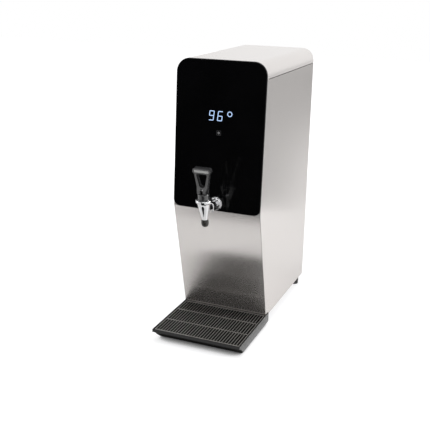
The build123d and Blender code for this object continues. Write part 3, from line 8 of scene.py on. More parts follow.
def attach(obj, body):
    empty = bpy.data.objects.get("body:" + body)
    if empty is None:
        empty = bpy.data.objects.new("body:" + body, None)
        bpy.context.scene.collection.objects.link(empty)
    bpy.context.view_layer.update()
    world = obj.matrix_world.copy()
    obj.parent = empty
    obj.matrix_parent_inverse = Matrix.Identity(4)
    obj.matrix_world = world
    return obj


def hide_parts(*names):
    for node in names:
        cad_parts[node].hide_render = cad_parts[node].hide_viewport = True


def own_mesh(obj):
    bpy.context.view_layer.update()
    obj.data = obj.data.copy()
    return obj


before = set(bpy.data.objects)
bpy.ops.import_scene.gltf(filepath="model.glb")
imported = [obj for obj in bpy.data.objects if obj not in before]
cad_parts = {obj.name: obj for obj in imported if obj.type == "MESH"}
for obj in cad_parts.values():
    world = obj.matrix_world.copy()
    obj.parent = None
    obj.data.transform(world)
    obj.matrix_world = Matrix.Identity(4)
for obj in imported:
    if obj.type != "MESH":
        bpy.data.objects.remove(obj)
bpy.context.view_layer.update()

bpy.ops.object.select_all(action="DESELECT")

# Camera: it stands to the right of the front and a little above the lid, and looks down.
# Its lens and turn are those of the photograph, for a square picture of 430 pixels.
camera_place = Vector((0.6139, -1.6208, 0.8080))
camera_yaw, camera_pitch, camera_roll = radians(22.56), radians(17.99), radians(0.886)
focal_pixels, frame_pixels, sensor_width = 748.8, 430, 36


def placed(origin, x_axis, y_axis, z_axis):
    """A place: an origin and the directions in which its three axes point."""
    return Matrix.Translation(origin) @ Matrix((x_axis, y_axis, z_axis)).transposed().to_4x4()


ahead = Vector((
    -sin(camera_yaw) * cos(camera_pitch),
    cos(camera_yaw) * cos(camera_pitch),
    -sin(camera_pitch),
))
across = Vector((cos(camera_yaw), sin(camera_yaw), 0))
upward = across.cross(ahead)
camera_x = across * cos(camera_roll) + upward * sin(camera_roll)
camera_y = upward * cos(camera_roll) - across * sin(camera_roll)

bpy.ops.object.camera_add()
camera = bpy.context.object
camera.name = "photo_camera"
camera.data.sensor_width = sensor_width
camera.data.lens = focal_pixels / frame_pixels * sensor_width
camera.matrix_world = placed(camera_place, camera_x, camera_y, -ahead)
bpy.context.scene.camera = camera

# Studio: a white paper floor under a white surround, which the camera sees as plain white.
# It still takes the object's soft shadow, and close to the object ambient occlusion dims its glow,
# a painted contact shadow. Lamps stand right, left and above. Dark, grey and white panels,
# which only glass and metal mirror, stand for the rest of a photographer's room.
floor_size, floor_roughness, shadow_samples = 12, 0.9, 16
floor_colour = (0.82, 0.82, 0.82)
floor_seen_colour = (0.36, 0.36, 0.37)
# Near the object the floor's glow is dimmed by ambient occlusion: a painted contact shadow.
contact_reach, contact_shut, contact_open = 0.040, 0.12, 0.40
contact_glow, open_glow = 0.02, 0.72
far_glow, near_reach, far_reach = 1.0, 0.45, 1.4
card_edge = 0.5  # how far an unscaled card reaches from its middle
mirror_cards = [  # name, middle, size, upright, glow at foot and top, share of the height that fades
    ("dark_floor_card", (-0.70, -1.69, 0.0005), (1.10, 1.42), False, 0.012, 0.012, 1),
    ("dark_front_card", (-0.85, -2.40, 0.35), (1.10, 0.75), True, 0.012, 0.012, 1),
    ("grey_side_card", (0.64, 0.45, 0.34), (0.66, 0.46), True, 0.28, 0.53, 0.8),
    ("white_floor_card", (0, -0.60, 0.002), (1.20, 0.70), False, 0.88, 0.88, 1),
    ("dark_near_card", (0.06, -0.763, 0.003), (0.52, 0.72), False, 0.012, 0.012, 1),
]
surround_colour = (1.0, 1.0, 1.0)
surround_strength = 0.55
lamps = [  # name, place, size, power
    ("right_lamp", (2.3, 0.5, 1.2), 1.0, 42),
    ("left_lamp", (-2.3, -0.6, 1.5), 1.0, 20),
    ("top_lamp", (0.1, -0.2, 2.6), 1.4, 26),
]
lamp_aim = Vector((0, 0, 0.3))


def map_range(nodes, low, high, first, last):
    """A node that carries values between low and high over to values between first and last."""
    spread = nodes.new("ShaderNodeMapRange")
    for socket, value in zip(("From Min", "From Max", "To Min", "To Max"), (low, high, first, last)):
        spread.inputs[socket].default_value = value
    return spread


def larger(nodes, links, first, second):
    """The larger of two values."""
    pick = nodes.new("ShaderNodeMath")
    pick.operation = "MAXIMUM"
    links.new(first, pick.inputs[0])
    links.new(second, pick.inputs[1])
    return pick.outputs[0]


bpy.ops.mesh.primitive_plane_add(size=floor_size)
floor = bpy.context.object
floor.name = "studio_floor"
floor_material = bpy.data.materials.new("studio_paper")
floor_material.use_nodes = True
nodes, links = floor_material.node_tree.nodes, floor_material.node_tree.links
paper = nodes["Principled BSDF"]
paper.inputs["Base Color"].default_value = (*floor_colour, 1)
paper.inputs["Roughness"].default_value = floor_roughness
paper.inputs["Specular IOR Level"].default_value = 0
seen_paper = nodes.new("ShaderNodeBsdfDiffuse")
seen_paper.inputs["Color"].default_value = (*floor_seen_colour, 1)
seen_glow = nodes.new("ShaderNodeEmission")
# Ambient occlusion dims the glow the camera sees near the object, a painted contact shadow.
contact_shade = nodes.new("ShaderNodeAmbientOcclusion")
contact_shade.samples = shadow_samples
contact_shade.inputs["Distance"].default_value = contact_reach
glow_spread = map_range(nodes, contact_shut, contact_open, contact_glow, open_glow)
floor_point = nodes.new("ShaderNodeTexCoord")
floor_distance = nodes.new("ShaderNodeVectorMath")
floor_distance.operation = "LENGTH"
far_spread = map_range(nodes, near_reach, far_reach, 0, far_glow)
links.new(contact_shade.outputs["AO"], glow_spread.inputs["Value"])
links.new(floor_point.outputs["Object"], floor_distance.inputs[0])
links.new(floor_distance.outputs["Value"], far_spread.inputs["Value"])
both_glows = larger(nodes, links, glow_spread.outputs["Result"], far_spread.outputs["Result"])
links.new(both_glows, seen_glow.inputs["Strength"])
seen_sum = nodes.new("ShaderNodeAddShader")
sight = nodes.new("ShaderNodeLightPath")
choice = nodes.new("ShaderNodeMixShader")
links.new(seen_paper.outputs[0], seen_sum.inputs[0])
links.new(seen_glow.outputs[0], seen_sum.inputs[1])
links.new(sight.outputs["Is Camera Ray"], choice.inputs[0])
links.new(paper.outputs[0], choice.inputs[1])
links.new(seen_sum.outputs[0], choice.inputs[2])
links.new(choice.outputs[0], nodes["Material Output"].inputs["Surface"])
floor.data.materials.append(floor_material)

for name, middle, size, upright, foot_glow, top_glow, fade_share in mirror_cards:
    bpy.ops.mesh.primitive_plane_add(size=1, location=middle, rotation=(pi / 2 if upright else 0, 0, 0))
    card = bpy.context.object
    card.name = name
    card.scale = (*size, 1)
    card.visible_camera = card.visible_diffuse = card.visible_shadow = card.visible_transmission = False
    card_material = bpy.data.materials.new(name)
    card_material.use_nodes = True
    nodes, links = card_material.node_tree.nodes, card_material.node_tree.links
    card_shader = nodes["Principled BSDF"]
    card_shader.inputs["Base Color"].default_value = (0, 0, 0, 1)
    card_shader.inputs["Specular IOR Level"].default_value = 0
    card_shader.inputs["Emission Color"].default_value = (1, 1, 1, 1)
    card_point = nodes.new("ShaderNodeTexCoord")
    card_height = nodes.new("ShaderNodeSeparateXYZ")
    card_fade = map_range(nodes, -card_edge, fade_share - card_edge, foot_glow, top_glow)
    links.new(card_point.outputs["Object"], card_height.inputs[0])
    links.new(card_height.outputs["Y"], card_fade.inputs["Value"])
    links.new(card_fade.outputs["Result"], card_shader.inputs["Emission Strength"])
    card.data.materials.append(card_material)

world = bpy.data.worlds.new("white_surround")
bpy.context.scene.world = world
world.use_nodes = True
nodes, links = world.node_tree.nodes, world.node_tree.links
surround = nodes["Background"]
surround.inputs["Color"].default_value = (*surround_colour, 1)
surround.inputs["Strength"].default_value = surround_strength
seen_surround = nodes.new("ShaderNodeBackground")
seen_surround.inputs["Color"].default_value = (*surround_colour, 1)
sight = nodes.new("ShaderNodeLightPath")
mirrored = larger(nodes, links, sight.outputs["Is Camera Ray"], sight.outputs["Is Glossy Ray"])
through = larger(nodes, links, mirrored, sight.outputs["Is Transmission Ray"])
choice = nodes.new("ShaderNodeMixShader")
links.new(through, choice.inputs[0])
links.new(surround.outputs[0], choice.inputs[1])
links.new(seen_surround.outputs[0], choice.inputs[2])
links.new(choice.outputs[0], nodes["World Output"].inputs["Surface"])

for name, place, size, power in lamps:
    bpy.ops.object.light_add(type="AREA", location=place)
    lamp = bpy.context.object
    lamp.name = name
    lamp.data.size = size
    lamp.data.energy = power
    lamp.rotation_euler = (lamp_aim - Vector(place)).to_track_quat("-Z", "Y").to_euler()

bpy.context.scene.view_settings.view_transform = "Standard"

# Casing sheets: the two sides, the folded front and the back are 1.2 mm brushed stainless steel.
# They are laser cut, folded along their edges and held together by screws at the back and below.
steel_dark, steel_light = (0.695, 0.664, 0.646), (0.735, 0.702, 0.683)
steel_gloss, steel_relief, brush_pull = (0.24, 0.27), 0.018, 0.95
steel_grain = 900
steel_metallic = 0.93  # the rest is a faint milky share, which lifts the darkest mirror images
noise_detail, dark_share, light_share, relief_depth = 5, 0.3, 0.7, 0.0002


def patterned(name, dark, light, stretch, size, roughness, relief, metallic=0.0):
    """A material whose stretched noise moves its colour, its roughness and its fine relief."""
    material = bpy.data.materials.new(name)
    material.use_nodes = True
    nodes, links = material.node_tree.nodes, material.node_tree.links
    shader = nodes["Principled BSDF"]
    shader.inputs["Metallic"].default_value = metallic
    place = nodes.new("ShaderNodeTexCoord")
    stretched = nodes.new("ShaderNodeMapping")
    stretched.inputs["Scale"].default_value = stretch
    noise = nodes.new("ShaderNodeTexNoise")
    noise.inputs["Scale"].default_value = size
    noise.inputs["Detail"].default_value = noise_detail
    tint = nodes.new("ShaderNodeValToRGB")
    for stop, position, colour in zip(tint.color_ramp.elements, (dark_share, light_share), (dark, light)):
        stop.position, stop.color = position, (*colour, 1)
    gloss = map_range(nodes, 0, 1, *roughness)
    bump = nodes.new("ShaderNodeBump")
    bump.inputs["Strength"].default_value = relief
    bump.inputs["Distance"].default_value = relief_depth
    links.new(place.outputs["Object"], stretched.inputs["Vector"])
    links.new(stretched.outputs["Vector"], noise.inputs["Vector"])
    links.new(noise.outputs["Fac"], tint.inputs["Fac"])
    links.new(noise.outputs["Fac"], gloss.inputs["Value"])
    links.new(noise.outputs["Fac"], bump.inputs["Height"])
    links.new(tint.outputs["Color"], shader.inputs["Base Color"])
    links.new(gloss.outputs["Result"], shader.inputs["Roughness"])
    links.new(bump.outputs["Normal"], shader.inputs["Normal"])
    return material


def dress(material, *names):
    """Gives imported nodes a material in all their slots."""
    for name in names:
        for material_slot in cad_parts[name].material_slots:
            material_slot.material = material


def brushed_steel(name, stretch, smear):
    """Steel brushed one way, whose reflections are drawn out along the smear direction."""
    material = patterned(
        name, steel_dark, steel_light, stretch, steel_grain, steel_gloss, steel_relief, steel_metallic
    )
    nodes, links = material.node_tree.nodes, material.node_tree.links
    shader = nodes["Principled BSDF"]
    shader.inputs["Anisotropic"].default_value = brush_pull
    across_brush = nodes.new("ShaderNodeCombineXYZ")
    for axis, share in zip("XYZ", smear):
        across_brush.inputs[axis].default_value = share
    links.new(across_brush.outputs["Vector"], shader.inputs["Tangent"])
    return material


side_steel = brushed_steel("steel_brushed_side", (1, 1, 0.01), (0, 1, 0))
front_steel = brushed_steel("steel_brushed_front", (1, 0.02, 0.01), (1, 0, 0))
dress(side_steel, "left_side_panel", "right_side_panel")
dress(front_steel, "front_panel", "back_panel")

# Lid: one steel sheet bent over the long edges at a large radius, with a lip at the back.
# Its front edge follows the lean of the fascia, and two screws through the lip hold it. Thin
# black strips along the side panels' upper edges fill the seam below it: painted shade, a dark
# sheet put where the recess under the lid lies in shade.
lid_width, lid_radius, lid_sheet = 0.210, 0.030, 0.0012
lid_top, lid_foot, lid_lip_foot = 0.630, 0.5950, 0.600
lid_front, lid_back = -0.150, 0.2325
fold_place = Vector((0, -0.1359, 0.297))
fascia_up = Vector((0, 0.05876, 0.99827))
fascia_out = Vector((0, -0.99827, 0.05876))
sideways = Vector((1, 0, 0))
lip_ease, fold_segments, smooth_angle, flat_weight = 0.0003, 20, radians(35), 100
aligned = 0.9  # above this cosine a direction counts as along an axis
touch, hair, same = 0.001, 0.0001, 0.00001  # within these distances a place counts as at an edge


def choose(test, kind="FACE"):
    """In edit mode, selects what passes a test of its middle and its normal or direction."""
    bpy.ops.mesh.select_mode(type=kind)
    bpy.ops.mesh.select_all(action="DESELECT")
    form = bmesh.from_edit_mesh(bpy.context.object.data)
    if kind == "FACE":
        parts = [(face, face.calc_center_median(), face.normal) for face in form.faces]
    elif kind == "EDGE":
        ends = [(edge, edge.verts[0].co, edge.verts[1].co) for edge in form.edges]
        parts = [(edge, (first + last) / 2, (last - first).normalized()) for edge, first, last in ends]
    else:
        parts = [(vertex, vertex.co, vertex.normal) for vertex in form.verts]
    for part, middle, direction in parts:
        if test(middle, direction):
            part.select_set(True)
    form.select_flush_mode()
    bmesh.update_edit_mesh(bpy.context.object.data)


def ease(test, width, segments, kind="EDGE"):
    """Rounds the edges that pass a test, or all round the faces that pass it."""
    choose(test, kind)
    bpy.ops.mesh.bevel(offset=width, offset_type="OFFSET", segments=segments, affect="EDGES")


def block(name, low, high):
    """A block between two corners, ready in edit mode to be shaped."""
    low, high = Vector(low), Vector(high)
    bpy.ops.mesh.primitive_cube_add(size=1, location=(low + high) / 2, scale=high - low)
    bpy.ops.object.transform_apply(location=True, rotation=True, scale=True)
    piece = bpy.context.object
    piece.name = name
    bpy.ops.object.mode_set(mode="EDIT")
    return piece


def apply_modifier(piece, kind, **settings):
    """Adds one modifier with its settings and applies it."""
    bpy.context.view_layer.objects.active = piece
    modifier = piece.modifiers.new(kind, kind)
    for setting, value in settings.items():
        setattr(modifier, setting, value)
    bpy.ops.object.modifier_apply(modifier=modifier.name)


def join(first, *others):
    """Joins pieces into the first one."""
    bpy.ops.object.select_all(action="DESELECT")
    for piece in (first, *others):
        piece.select_set(True)
    bpy.context.view_layer.objects.active = first
    bpy.ops.object.join()
    return first


def tune(material, socket, value):
    """Sets one value of a material's shader."""
    material.node_tree.nodes["Principled BSDF"].inputs[socket].default_value = value


def finish_piece(piece, material, body, slot, *nodes):
    """Smooths a piece, gives it its material and body, and hides the imported nodes that it stands for.
    Its slot is not used.
    """
    bpy.ops.object.select_all(action="DESELECT")
    piece.select_set(True)
    bpy.context.view_layer.objects.active = piece
    bpy.ops.object.transform_apply(location=True, rotation=True, scale=True)
    bpy.ops.object.shade_smooth_by_angle(angle=smooth_angle)
    apply_modifier(piece, "WEIGHTED_NORMAL", weight=flat_weight, keep_sharp=True)
    piece.data.materials.clear()
    piece.data.materials.append(material)
    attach(piece, body)
    if nodes:
        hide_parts(*nodes)
    bpy.ops.object.select_all(action="DESELECT")


lid = block("lid_cover_sheet", (-lid_width / 2, lid_front, lid_foot), (lid_width / 2, lid_back, lid_top))
ease(
    lambda middle, direction: abs(direction.y) > aligned and middle.z > lid_top - touch,
    lid_radius, fold_segments,
)
bpy.ops.mesh.select_all(action="SELECT")
bpy.ops.mesh.bisect(plane_co=fold_place, plane_no=fascia_out, clear_outer=True)
choose(lambda middle, direction: direction.z < -aligned or abs(direction.y) > aligned)
bpy.ops.mesh.delete(type="FACE")
bpy.ops.object.mode_set(mode="OBJECT")
apply_modifier(lid, "SOLIDIFY", thickness=lid_sheet, offset=-1)
lip_half = lid_width / 2 - lid_sheet
lip = block(
    "lid_lip", (-lip_half, lid_back - lid_sheet, lid_lip_foot), (lip_half, lid_back, lid_top - lid_sheet)
)
ease(
    lambda middle, direction: abs(direction.y) > aligned and middle.z > lid_top - 2 * touch,
    lid_radius - lid_sheet - lip_ease, fold_segments,
)
bpy.ops.object.mode_set(mode="OBJECT")
lid_steel = brushed_steel("steel_brushed_lid", (1, 0.01, 1), (1, 0, 0))
finish_piece(join(lid, lip), lid_steel, "cabinet", "casing_steel", "lid_cover")

# Black strips in the seam under the lid: painted shade for the shaded recess there.
shade_strip_foot, shade_strip_face, shade_strip_front, shade_strip_back, shade_strip_round = 0.59365, 0.1047, -0.1040, 0.2290, 0.0003
shade_strips = []
for side in (-1, 1):
    edges = sorted((side * lip_half, side * shade_strip_face))
    shade_strips.append(block("lid_seam_shade_strip", (edges[0], shade_strip_front, shade_strip_foot), (edges[1], shade_strip_back, lid_foot)))
    ease(
        lambda middle, direction: abs(direction.y) > aligned and abs(middle.x) > shade_strip_face - hair,
        shade_strip_round, 3,
    )
    bpy.ops.object.mode_set(mode="OBJECT")
# Near-black material of the seam strips, painted shade.
seam_shade_black = patterned(
    "seam_painted_shade_black", (0.006, 0.006, 0.006), (0.014, 0.014, 0.013), (1, 1, 1), 1400, (0.8, 0.95), 0.5
)
tune(seam_shade_black, "Specular IOR Level", 0.1)
finish_piece(join(*shade_strips), seam_shade_black, "cabinet", "rubber_black")

# Fascia: a sheet of black gloss glass as wide as the casing, bonded to the steel front.
# Its upper corners follow the lid, its rim is ground, and one hole takes the tap's shank.
fascia_width, fascia_height, fascia_thickness = 0.210, 0.33328, 0.004
fascia_top_radius, fascia_foot_radius, fascia_rim = 0.030, 0.016, 0.0012
tap_rise, shank_hole, drill_length = 0.017, 0.0092, 0.06
front_place = placed(fold_place, sideways, fascia_up, fascia_out)


def settle(piece, place):
    """Puts a piece that was made at the origin into its place."""
    bpy.ops.object.select_all(action="DESELECT")
    piece.select_set(True)
    bpy.context.view_layer.objects.active = piece
    piece.matrix_world = place @ piece.matrix_world
    bpy.ops.object.transform_apply(location=True, rotation=True, scale=True)
    return piece


def combine(piece, tool, operation="DIFFERENCE"):
    """Cuts a tool's shape out of a piece or unites the two, and takes the tool away."""
    apply_modifier(piece, "BOOLEAN", object=tool, operation=operation, solver="EXACT")
    bpy.data.objects.remove(tool)


def bore(piece, radius, place, depth=drill_length, sides=48):
    """Cuts a round hole along Z through a piece, half of its depth on each side of the place."""
    bpy.ops.mesh.primitive_cylinder_add(vertices=sides, radius=radius, depth=depth, location=place)
    combine(piece, bpy.context.object)


fascia = block(
    "fascia_glass", (-fascia_width / 2, 0, 0), (fascia_width / 2, fascia_height, fascia_thickness)
)
ease(
    lambda middle, direction: abs(direction.z) > aligned and middle.y > fascia_height / 2,
    fascia_top_radius, fold_segments,
)
ease(lambda middle, direction: abs(direction.z) > aligned and middle.y < touch, fascia_foot_radius, 12)
ease(lambda middle, direction: direction.z > aligned, fascia_rim, 3, "FACE")
bpy.ops.object.mode_set(mode="OBJECT")
bore(fascia, shank_hole, (0, tap_rise, 0))
settle(fascia, front_place)
black_glass = patterned(
    "glass_black", (0.0012, 0.0012, 0.0014), (0.0022, 0.0022, 0.0025), (1, 1, 1), 9, (0.03, 0.07), 0.0
)
tune(black_glass, "Specular IOR Level", 0.16)
finish_piece(fascia, black_glass, "cabinet", "fascia_black", "front_fascia")

# Display: lamp segments behind the glass show two digits and a degree ring in pale blue.
# Below them a faint rounded square round a paler dot is printed, where the touch key is.
digit_height, digit_width, segment_width = 0.0218, 0.0120, 0.0018
digit_middle, digit_slant = 0.2130, radians(6)
digit_places = {"9": -0.0182, "6": 0.0018}
lit_segments = {
    "9": ("top", "upper_left", "upper_right", "middle", "lower_right", "foot"),
    "6": ("top", "upper_left", "middle", "lower_left", "lower_right", "foot"),
}
segment_places = {  # shares of the figure's width and height, and whether the segment is upright
    "top": (0, 0.5, 0), "middle": (0, 0, 0), "foot": (0, -0.5, 0),
    "upper_left": (-0.5, 0.25, 1), "upper_right": (0.5, 0.25, 1),
    "lower_left": (-0.5, -0.25, 1), "lower_right": (0.5, -0.25, 1),
}
ring_place, ring_radius, ring_width = (0.0243, 0.2188), 0.0050, 0.0018
glow_depth, segment_tip, ring_flatness, dot_ease = 0.0001, 0.45, 0.1, 0.4
key_place, key_half, key_line, key_dot = (0, 0.1760), 0.0056, 0.0010, 0.0029

run_height = digit_height - segment_width
run_width = digit_width - segment_width
digits = []
for digit, digit_x in digit_places.items():
    for segment in lit_segments[digit]:
        share_x, share_y, upright = segment_places[segment]
        run = run_height / 2 if upright else run_width
        lamp_bar = block(
            "lamp_bar", (-segment_width / 2, -run / 2, 0), (segment_width / 2, run / 2, glow_depth)
        )
        ease(lambda middle, direction: abs(direction.z) > aligned, segment_width * segment_tip, 4)
        bpy.ops.object.mode_set(mode="OBJECT")
        bar_x, bar_y = share_x * run_width, share_y * run_height
        bar_turn = Matrix.Rotation(0 if upright else pi / 2, 4, "Z")
        slant = Matrix.Identity(4)
        slant[0][1] = tan(digit_slant)
        shift = Matrix.Translation((digit_x, digit_middle, fascia_thickness))
        lamp_bar.data.transform(shift @ slant @ Matrix.Translation((bar_x, bar_y, 0)) @ bar_turn)
        digits.append(lamp_bar)
bpy.ops.mesh.primitive_torus_add(
    major_radius=ring_radius, minor_radius=ring_width / 2, major_segments=40, minor_segments=8,
    location=(*ring_place, fascia_thickness),
)
degree_ring = bpy.context.object
degree_ring.scale = (1, 1, ring_flatness)
digits.append(degree_ring)
lamp_light = patterned(
    "display_lamps", (0.14, 0.18, 0.26), (0.18, 0.22, 0.30), (1, 1, 1), 400, (0.3, 0.4), 0.0
)
tune(lamp_light, "Emission Color", (0.46, 0.66, 1.0, 1))
tune(lamp_light, "Emission Strength", 0.9)
display_digits = join(*digits)
display_digits.name = "display_digits"
settle(display_digits, front_place)
finish_piece(display_digits, lamp_light, "cabinet", "display_face")

key_x, key_y = key_place
touch_key = block(
    "touch_key_mark",
    (key_x - key_half, key_y - key_half, fascia_thickness),
    (key_x + key_half, key_y + key_half, fascia_thickness + glow_depth),
)
ease(lambda middle, direction: abs(direction.z) > aligned, key_half / 2, 6)
choose(lambda middle, direction: abs(direction.z) > aligned)
bpy.ops.mesh.inset(thickness=key_line)
bpy.ops.mesh.bridge_edge_loops()
bpy.ops.object.mode_set(mode="OBJECT")
settle(touch_key, front_place)
key_print = patterned(
    "key_print_grey", (0.012, 0.012, 0.013), (0.020, 0.020, 0.022), (1, 1, 1), 300, (0.3, 0.5), 0.0
)
finish_piece(touch_key, key_print, "cabinet", "display_face")
bpy.ops.mesh.primitive_cylinder_add(
    vertices=32, radius=key_dot, depth=glow_depth,
    location=(key_x, key_y, fascia_thickness + glow_depth / 2),
)
key_dot_mark = bpy.context.object
key_dot_mark.name = "touch_key_dot"
bpy.ops.object.mode_set(mode="EDIT")
ease(lambda middle, direction: direction.z > aligned, glow_depth * dot_ease, 2, "FACE")
bpy.ops.object.mode_set(mode="OBJECT")
dot_print = patterned(
    "key_dot_grey", (0.11, 0.11, 0.115), (0.19, 0.19, 0.195), (1, 1, 1), 300, (0.3, 0.5), 0.0
)
finish_piece(settle(key_dot_mark, front_place), dot_print, "cabinet", "display_face")

# Tap body: a brass casting turned and polished, then chromium plated. Its bowl holds the valve
# seat, and the boss behind screws to the shank. The cone below ends in a bead painted near-black,
# a painted dark reflection on the chrome.
tap_axis = Vector((0, -0.139173, 0.990268))
tap_middle = Vector((0, -0.203782, 0.318025))
tap_profile = [  # radius and height, as in all the profiles that follow
    (0.0045, -0.0385), (0.0060, -0.0385), (0.0068, -0.0376), (0.0077, -0.0355), (0.0082, -0.0330),
    (0.0083, -0.0305), (0.0082, -0.0280), (0.0077, -0.0252), (0.0070, -0.0232), (0.0064, -0.0222),
    (0.0069, -0.0200), (0.0080, -0.0150), (0.0093, -0.0090), (0.0106, -0.0030), (0.0119, 0.0030),
    (0.0132, 0.0090), (0.0146, 0.0155), (0.0156, 0.0180), (0.0178, 0.0198), (0.0178, 0.0238),
    (0.01765, 0.0244), (0.0172, 0.0248), (0.0166, 0.0250), (0.0130, 0.0250), (0.0130, 0.0118),
    (0.0120, 0.0104), (0.0076, 0.0100), (0.0076, -0.0080), (0.0045, -0.0080),
]
boss_profile = [
    (0.0055, 0.0470), (0.0110, 0.0470), (0.0120, 0.0480), (0.0120, 0.0530), (0.0120, 0.0670),
    (0.0055, 0.0670),
]
painted_tip_top, tap_bore = -0.0222, 0.0079
tap_place = placed(tap_middle, sideways, tap_axis.cross(sideways), tap_axis)
shank_place = placed(fold_place + fascia_up * tap_rise, sideways, fascia_up, fascia_out)


def turned(name, profile, sides=64, hollow=True):
    """A piece turned on Z: a ring is extruded and resized through (radius, height) pairs."""
    radius, height = profile[0]
    bpy.ops.mesh.primitive_circle_add(vertices=sides, radius=radius, location=(0, 0, height))
    piece = bpy.context.object
    piece.name = name
    bpy.ops.object.mode_set(mode="EDIT")
    bpy.ops.mesh.select_mode(type="EDGE")
    bpy.ops.mesh.select_all(action="SELECT")
    for next_radius, next_height in (profile[1:] + profile[:1] if hollow else profile[1:]):
        bpy.ops.mesh.extrude_region_move(TRANSFORM_OT_translate={"value": (0, 0, next_height - height)})
        bpy.ops.transform.resize(value=(next_radius / radius, next_radius / radius, 1))
        radius, height = next_radius, next_height
    if not hollow:
        bpy.ops.mesh.edge_face_add()
        choose(lambda middle, direction: abs(middle.z) < same, "VERT")
        bpy.ops.mesh.edge_face_add()
    bpy.ops.mesh.select_all(action="SELECT")
    bpy.ops.mesh.remove_doubles(threshold=same)
    bpy.ops.mesh.normals_make_consistent(inside=False)
    bpy.ops.object.mode_set(mode="OBJECT")
    bpy.ops.object.transform_apply(location=True, rotation=True, scale=True)
    return piece


def paint(piece, material, test):
    """Gives the faces of a piece that pass a test a second material."""
    piece.data.materials.append(material)
    bpy.context.view_layer.objects.active = piece
    piece.select_set(True)
    bpy.ops.object.mode_set(mode="EDIT")
    choose(test)
    piece.active_material_index = 1
    bpy.ops.object.material_slot_assign()
    bpy.ops.object.mode_set(mode="OBJECT")


tap_casting = turned("tap_casting", tap_profile)
boss = settle(turned("tap_boss", boss_profile), tap_place.inverted() @ shank_place)
bore(boss, tap_bore, (0, 0, 0))
settle(join(tap_casting, boss), tap_place)
chrome = patterned(
    "chrome_plate", (0.66, 0.66, 0.67), (0.74, 0.74, 0.75), (1, 1, 1), 60, (0.03, 0.07), 0.0, 1.0
)
finish_piece(tap_casting, chrome, "cabinet", "tap_chrome", "tap_body")
# The bead at the tip is painted near-black, a painted dark reflection.
tip_painted_reflection = patterned(
    "spout_tip_painted_dark_reflection", (0.012, 0.011, 0.009), (0.022, 0.020, 0.016), (1, 1, 1), 500, (0.12, 0.2), 0.02
)
# Faces below the painted tip's top take the painted dark reflection.
paint(
    tap_casting, tip_painted_reflection,
    lambda middle, direction: (middle - tap_middle).dot(tap_axis) < painted_tip_top,
)

# Coupling nut and collar: chromium plated brass on the shank, both with a spanner's hexagon.
# The nut draws the tap up to the shank, and the collar's round foot covers the hole in the glass.
nut_radius, nut_length, nut_outer = 0.0145, 0.0100, 0.0467
collar_profile = [
    (0.0092, 0.0052), (0.0155, 0.0052), (0.0155, 0.0060), (0.0151, 0.0066), (0.0142, 0.0069),
    (0.0092, 0.0069),
]
collar_hex_radius, collar_hex_low, collar_hex_high = 0.0150, 0.0066, 0.0112
corner_ease, end_chamfer = 0.0006, 0.0009


def hexagon(name, radius, low, high):
    """A nut's hexagon on Z, its corners eased and its ends chamfered, with the shank's hole."""
    bpy.ops.mesh.primitive_cylinder_add(
        vertices=6, radius=radius, depth=high - low, location=(0, 0, (low + high) / 2)
    )
    nut = bpy.context.object
    nut.name = name
    bpy.ops.object.mode_set(mode="EDIT")
    ease(lambda middle, direction: abs(direction.z) > aligned, corner_ease, 2)
    ease(lambda middle, direction: abs(direction.z) > aligned, end_chamfer, 3, "FACE")
    bpy.ops.object.mode_set(mode="OBJECT")
    bore(nut, shank_hole, (0, 0, (low + high) / 2))
    return nut


coupling_nut = hexagon("coupling_nut_hexagon", nut_radius, nut_outer - nut_length, nut_outer)
finish_piece(settle(coupling_nut, shank_place), chrome, "cabinet", "tap_chrome", "tap_coupling_nut")
collar = join(
    turned("shank_collar", collar_profile),
    hexagon("collar_hexagon", collar_hex_radius, collar_hex_low, collar_hex_high),
)
finish_piece(settle(collar, shank_place), chrome, "cabinet", "tap_chrome", "tap_collar")
dress(chrome, "tap_shank", "tap_stem", "tap_lever_pin")

# Bonnet: a moulded black plastic cap screwed into the bowl, which guides the stem.
# A wide flange seats it on the bowl's rim, and the stem leaves through the hole in its top.
bonnet_profile = [
    (0.0076, 0.0120), (0.01292, 0.0120), (0.01292, 0.0250), (0.0142, 0.0250), (0.0143, 0.0253),
    (0.0143, 0.0262), (0.0141, 0.0266), (0.0126, 0.0267), (0.0125, 0.0270), (0.0125, 0.0374),
    (0.0121, 0.0384), (0.0112, 0.0390), (0.0033, 0.0390), (0.0033, 0.0350), (0.0076, 0.0350),
]

bonnet = settle(turned("tap_bonnet_cap", bonnet_profile), tap_place)
smoked_plastic = patterned(
    "plastic_black_gloss", (0.018, 0.018, 0.019), (0.030, 0.030, 0.031), (1, 1, 1), 120, (0.08, 0.16), 0.01
)
tune(smoked_plastic, "Specular IOR Level", 1.0)
finish_piece(bonnet, smoked_plastic, "cabinet", "bonnet_dark", "tap_bonnet")

# Spring: stainless wire wound in open coils between the stem's seat and the bonnet's ceiling.
# It closes the valve, and on the tap it shortens as the lever lifts the stem; here it is wound at its
# resting length.
spring_radius, wire_radius, wire_sides, spring_coils, coil_steps = 0.0054, 0.0008, 12, 7, 32
spring_low, spring_high, stem_travel = 0.00295, 0.03405, 0.004319


